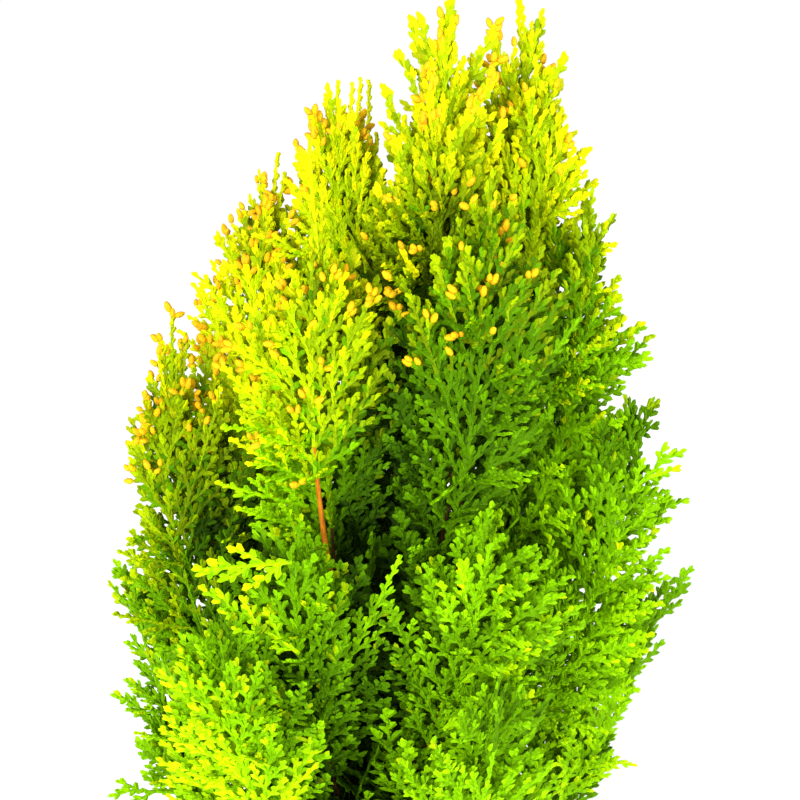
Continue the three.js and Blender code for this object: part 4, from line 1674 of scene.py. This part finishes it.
class ARBORVITAE_OT_stems(bpy.types.Operator):
    """Makes the woody lower part of every plume's stem"""

    bl_idname = "arborvitae.stems"
    bl_label = "Stems"

    def execute(self, context):
        colours = context.scene.arborvitae_colours
        shaded = bark_material("stem", colours.bark_dark, colours.bark_light)
        young = bark_material("young_stem", linear(150, 84, 16), colours.stem)
        lower = [plume.stem.part(0, GREEN_FROM + GREEN_OVERLAP) for plume in PLUMES]
        bare = next(plume for plume in PLUMES if plume.name == BARE_STEM)
        lower.append(Curve(*(fan_axis(bare, share, FAN_FROM, FAN_SHIFT["upper"]) for share in BARE_SHARES)))
        starts = np.array([part.start for part in lower])
        knees = np.array([part.knee for part in lower])
        ends = np.array([part.end for part in lower])
        faces = np.array([plume.fan(0.5)[1] for plume in (*PLUMES, bare)])
        radii = np.tile((BOUGH_TIP_RADIUS, STEM_TIP_RADIUS) * 2, (len(lower), 1))
        radii[-1] = BARE_RADII * 2
        rod = unit_rod(*STEM_ROD)
        points, triangles = bend_rods(rod, starts, knees, ends, faces, radii)
        sunlit = np.arange(len(lower)) == len(PLUMES)
        make_piece("stems", points, triangles, [shaded, young], np.repeat(sunlit, len(rod[1])))
        return {"FINISHED"}


def grown_foliage(context):
    """The crown's growth for the sizes that are set."""
    sizes = context.scene.arborvitae_sizes
    return grow_all(sizes.leaf_length / METRES, sizes.leaf_width / METRES, sizes.leaf_spacing / METRES)


def sprays_mesh(growths, thickness):
    """The branchlets and green stalks of some plumes: points, triangles and the shade of each triangle."""
    leaf, stalk = unit_leaf(), unit_rod(*STALK_ROD)
    leaves = np.concatenate([part for growth in growths for part in growth.leaves])
    roots, along, face, sizes, leaf_bright, leaf_warm = np.split(leaves, LEAF_COLUMNS, axis=1)
    high = roots[:, 2] + along[:, 2] * sizes[:, 0] > LOWEST_FOLIAGE - LEAF_DROOP
    roots, along, face, sizes = roots[high], along[high], face[high], sizes[high]
    leaf_bright, leaf_warm = leaf_bright[high, 0], leaf_warm[high, 0]
    aside = unit(np.cross(face, along))
    spread = np.column_stack((sizes, np.full(len(sizes), thickness)))
    points, triangles = scatter(leaf, roots, along, aside, np.cross(along, aside), spread)
    stalks = [part for growth in growths for part in growth.stalks]
    starts, knees, ends, faces, stalk_bright, stalk_warm = (np.array(part) for part in zip(*stalks))
    radii = np.tile(STALK_WIDTH + STALK_THICKNESS, (len(starts), 1))
    rods, ways = bend_rods(stalk, starts, knees, ends, faces, radii)
    bright = np.concatenate((np.repeat(leaf_bright, len(leaf[1])), np.repeat(stalk_bright, len(stalk[1]))))
    warm = np.concatenate((np.repeat(leaf_warm, len(leaf[1])), np.repeat(stalk_warm, len(stalk[1]))))
    # The brightness picks a hue's step: painted light and painted shade, with each leaf's own tone.
    slots = np.clip(np.round(bright * (SHADES - 1)), 0, SHADES - 1)
    slots += SHADES * np.clip(np.round(warm * (len(HUES) - 1)), 0, len(HUES) - 1)
    return np.concatenate((points, rods)), np.concatenate((triangles, ways + len(points))), slots


class ARBORVITAE_OT_sprays(bpy.types.Operator):
    """Grows the flat sprays of scale-leaved branchlets on every plume"""

    bl_idname = "arborvitae.sprays"
    bl_label = "Sprays"

    def execute(self, context):
        shades = []
        # Lit and shaded copies of each hue, one material for each step of painted light and shade.
        for hue, steps in HUES.items():
            for k, step in enumerate(steps):
                shades.append(scaly_material(f"{hue}_{k + 1}", linear(*step), LEAF_FINISH))
        thickness = context.scene.arborvitae_sizes.leaf_thickness / METRES
        grown = grown_foliage(context)
        for tier in TIER_TONE_AND_LIGHT:
            growths = [growth for growth in grown if growth.plume.tier == tier]
            for first in range(0, len(growths), PLUMES_A_PIECE):
                some = growths[first : first + PLUMES_A_PIECE]
                points, triangles, slots = sprays_mesh(some, thickness)
                name = f"sprays_{tier}_{first // PLUMES_A_PIECE + 1}"
                piece = make_piece(name, points, triangles, shades, slots, smooth=False)
                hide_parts(*[f"foliage_{growth.plume.name}" for growth in some])
        return {"FINISHED"}


class ARBORVITAE_OT_cones(bpy.types.Operator):
    """Adds the pollen cones at the tips of the sprays"""

    bl_idname = "arborvitae.cones"
    bl_label = "Pollen cones"

    def execute(self, context):
        sizes = context.scene.arborvitae_sizes
        cones = np.array([cone for growth in grown_foliage(context) for cone in growth.cones])
        along = cones[:, 3:6]
        aside = unit(np.cross(along, np.array(ASKEW)))
        length = sizes.cone_length / METRES * cones[:, 6]
        width = sizes.cone_width / METRES * cones[:, 6]
        spread = np.column_stack((length, width, width))
        points, triangles = scatter(unit_cone(), cones[:, :3], along, aside, np.cross(along, aside), spread)
        gold = scaly_material("pollen_cones", context.scene.arborvitae_colours.cone, CONE_FINISH)
        make_piece("pollen_cones", points, triangles, [gold])
        return {"FINISHED"}


class ARBORVITAE_PT_panel(bpy.types.Panel):
    """Lists the steps that make the plant"""

    bl_label = "Arborvitae"
    bl_idname = "ARBORVITAE_PT_panel"
    bl_space_type = "VIEW_3D"
    bl_region_type = "UI"
    bl_category = "Arborvitae"

    def draw(self, context):
        for operator in OPERATORS:
            self.layout.operator(operator.bl_idname)


OPERATORS = (
    ARBORVITAE_OT_stage,
    ARBORVITAE_OT_limbs,
    ARBORVITAE_OT_stems,
    ARBORVITAE_OT_sprays,
    ARBORVITAE_OT_cones,
)
CLASSES = (ArborvitaeSizes, ArborvitaeColours, *OPERATORS, ARBORVITAE_PT_panel)


def register():
    """Makes the properties, operators and panel known."""
    for cls in CLASSES:
        bpy.utils.register_class(cls)
    bpy.types.Scene.arborvitae_sizes = bpy.props.PointerProperty(type=ArborvitaeSizes)
    bpy.types.Scene.arborvitae_colours = bpy.props.PointerProperty(type=ArborvitaeColours)


def unregister():
    """Takes them away again."""
    del bpy.types.Scene.arborvitae_colours
    del bpy.types.Scene.arborvitae_sizes
    for cls in reversed(CLASSES):
        bpy.utils.unregister_class(cls)


def main():
    """Makes the scene."""
    register()
    bpy.ops.arborvitae.stage()
    bpy.ops.arborvitae.limbs()
    bpy.ops.arborvitae.stems()
    bpy.ops.arborvitae.sprays()
    bpy.ops.arborvitae.cones()


if __name__ == "__main__":
    main()
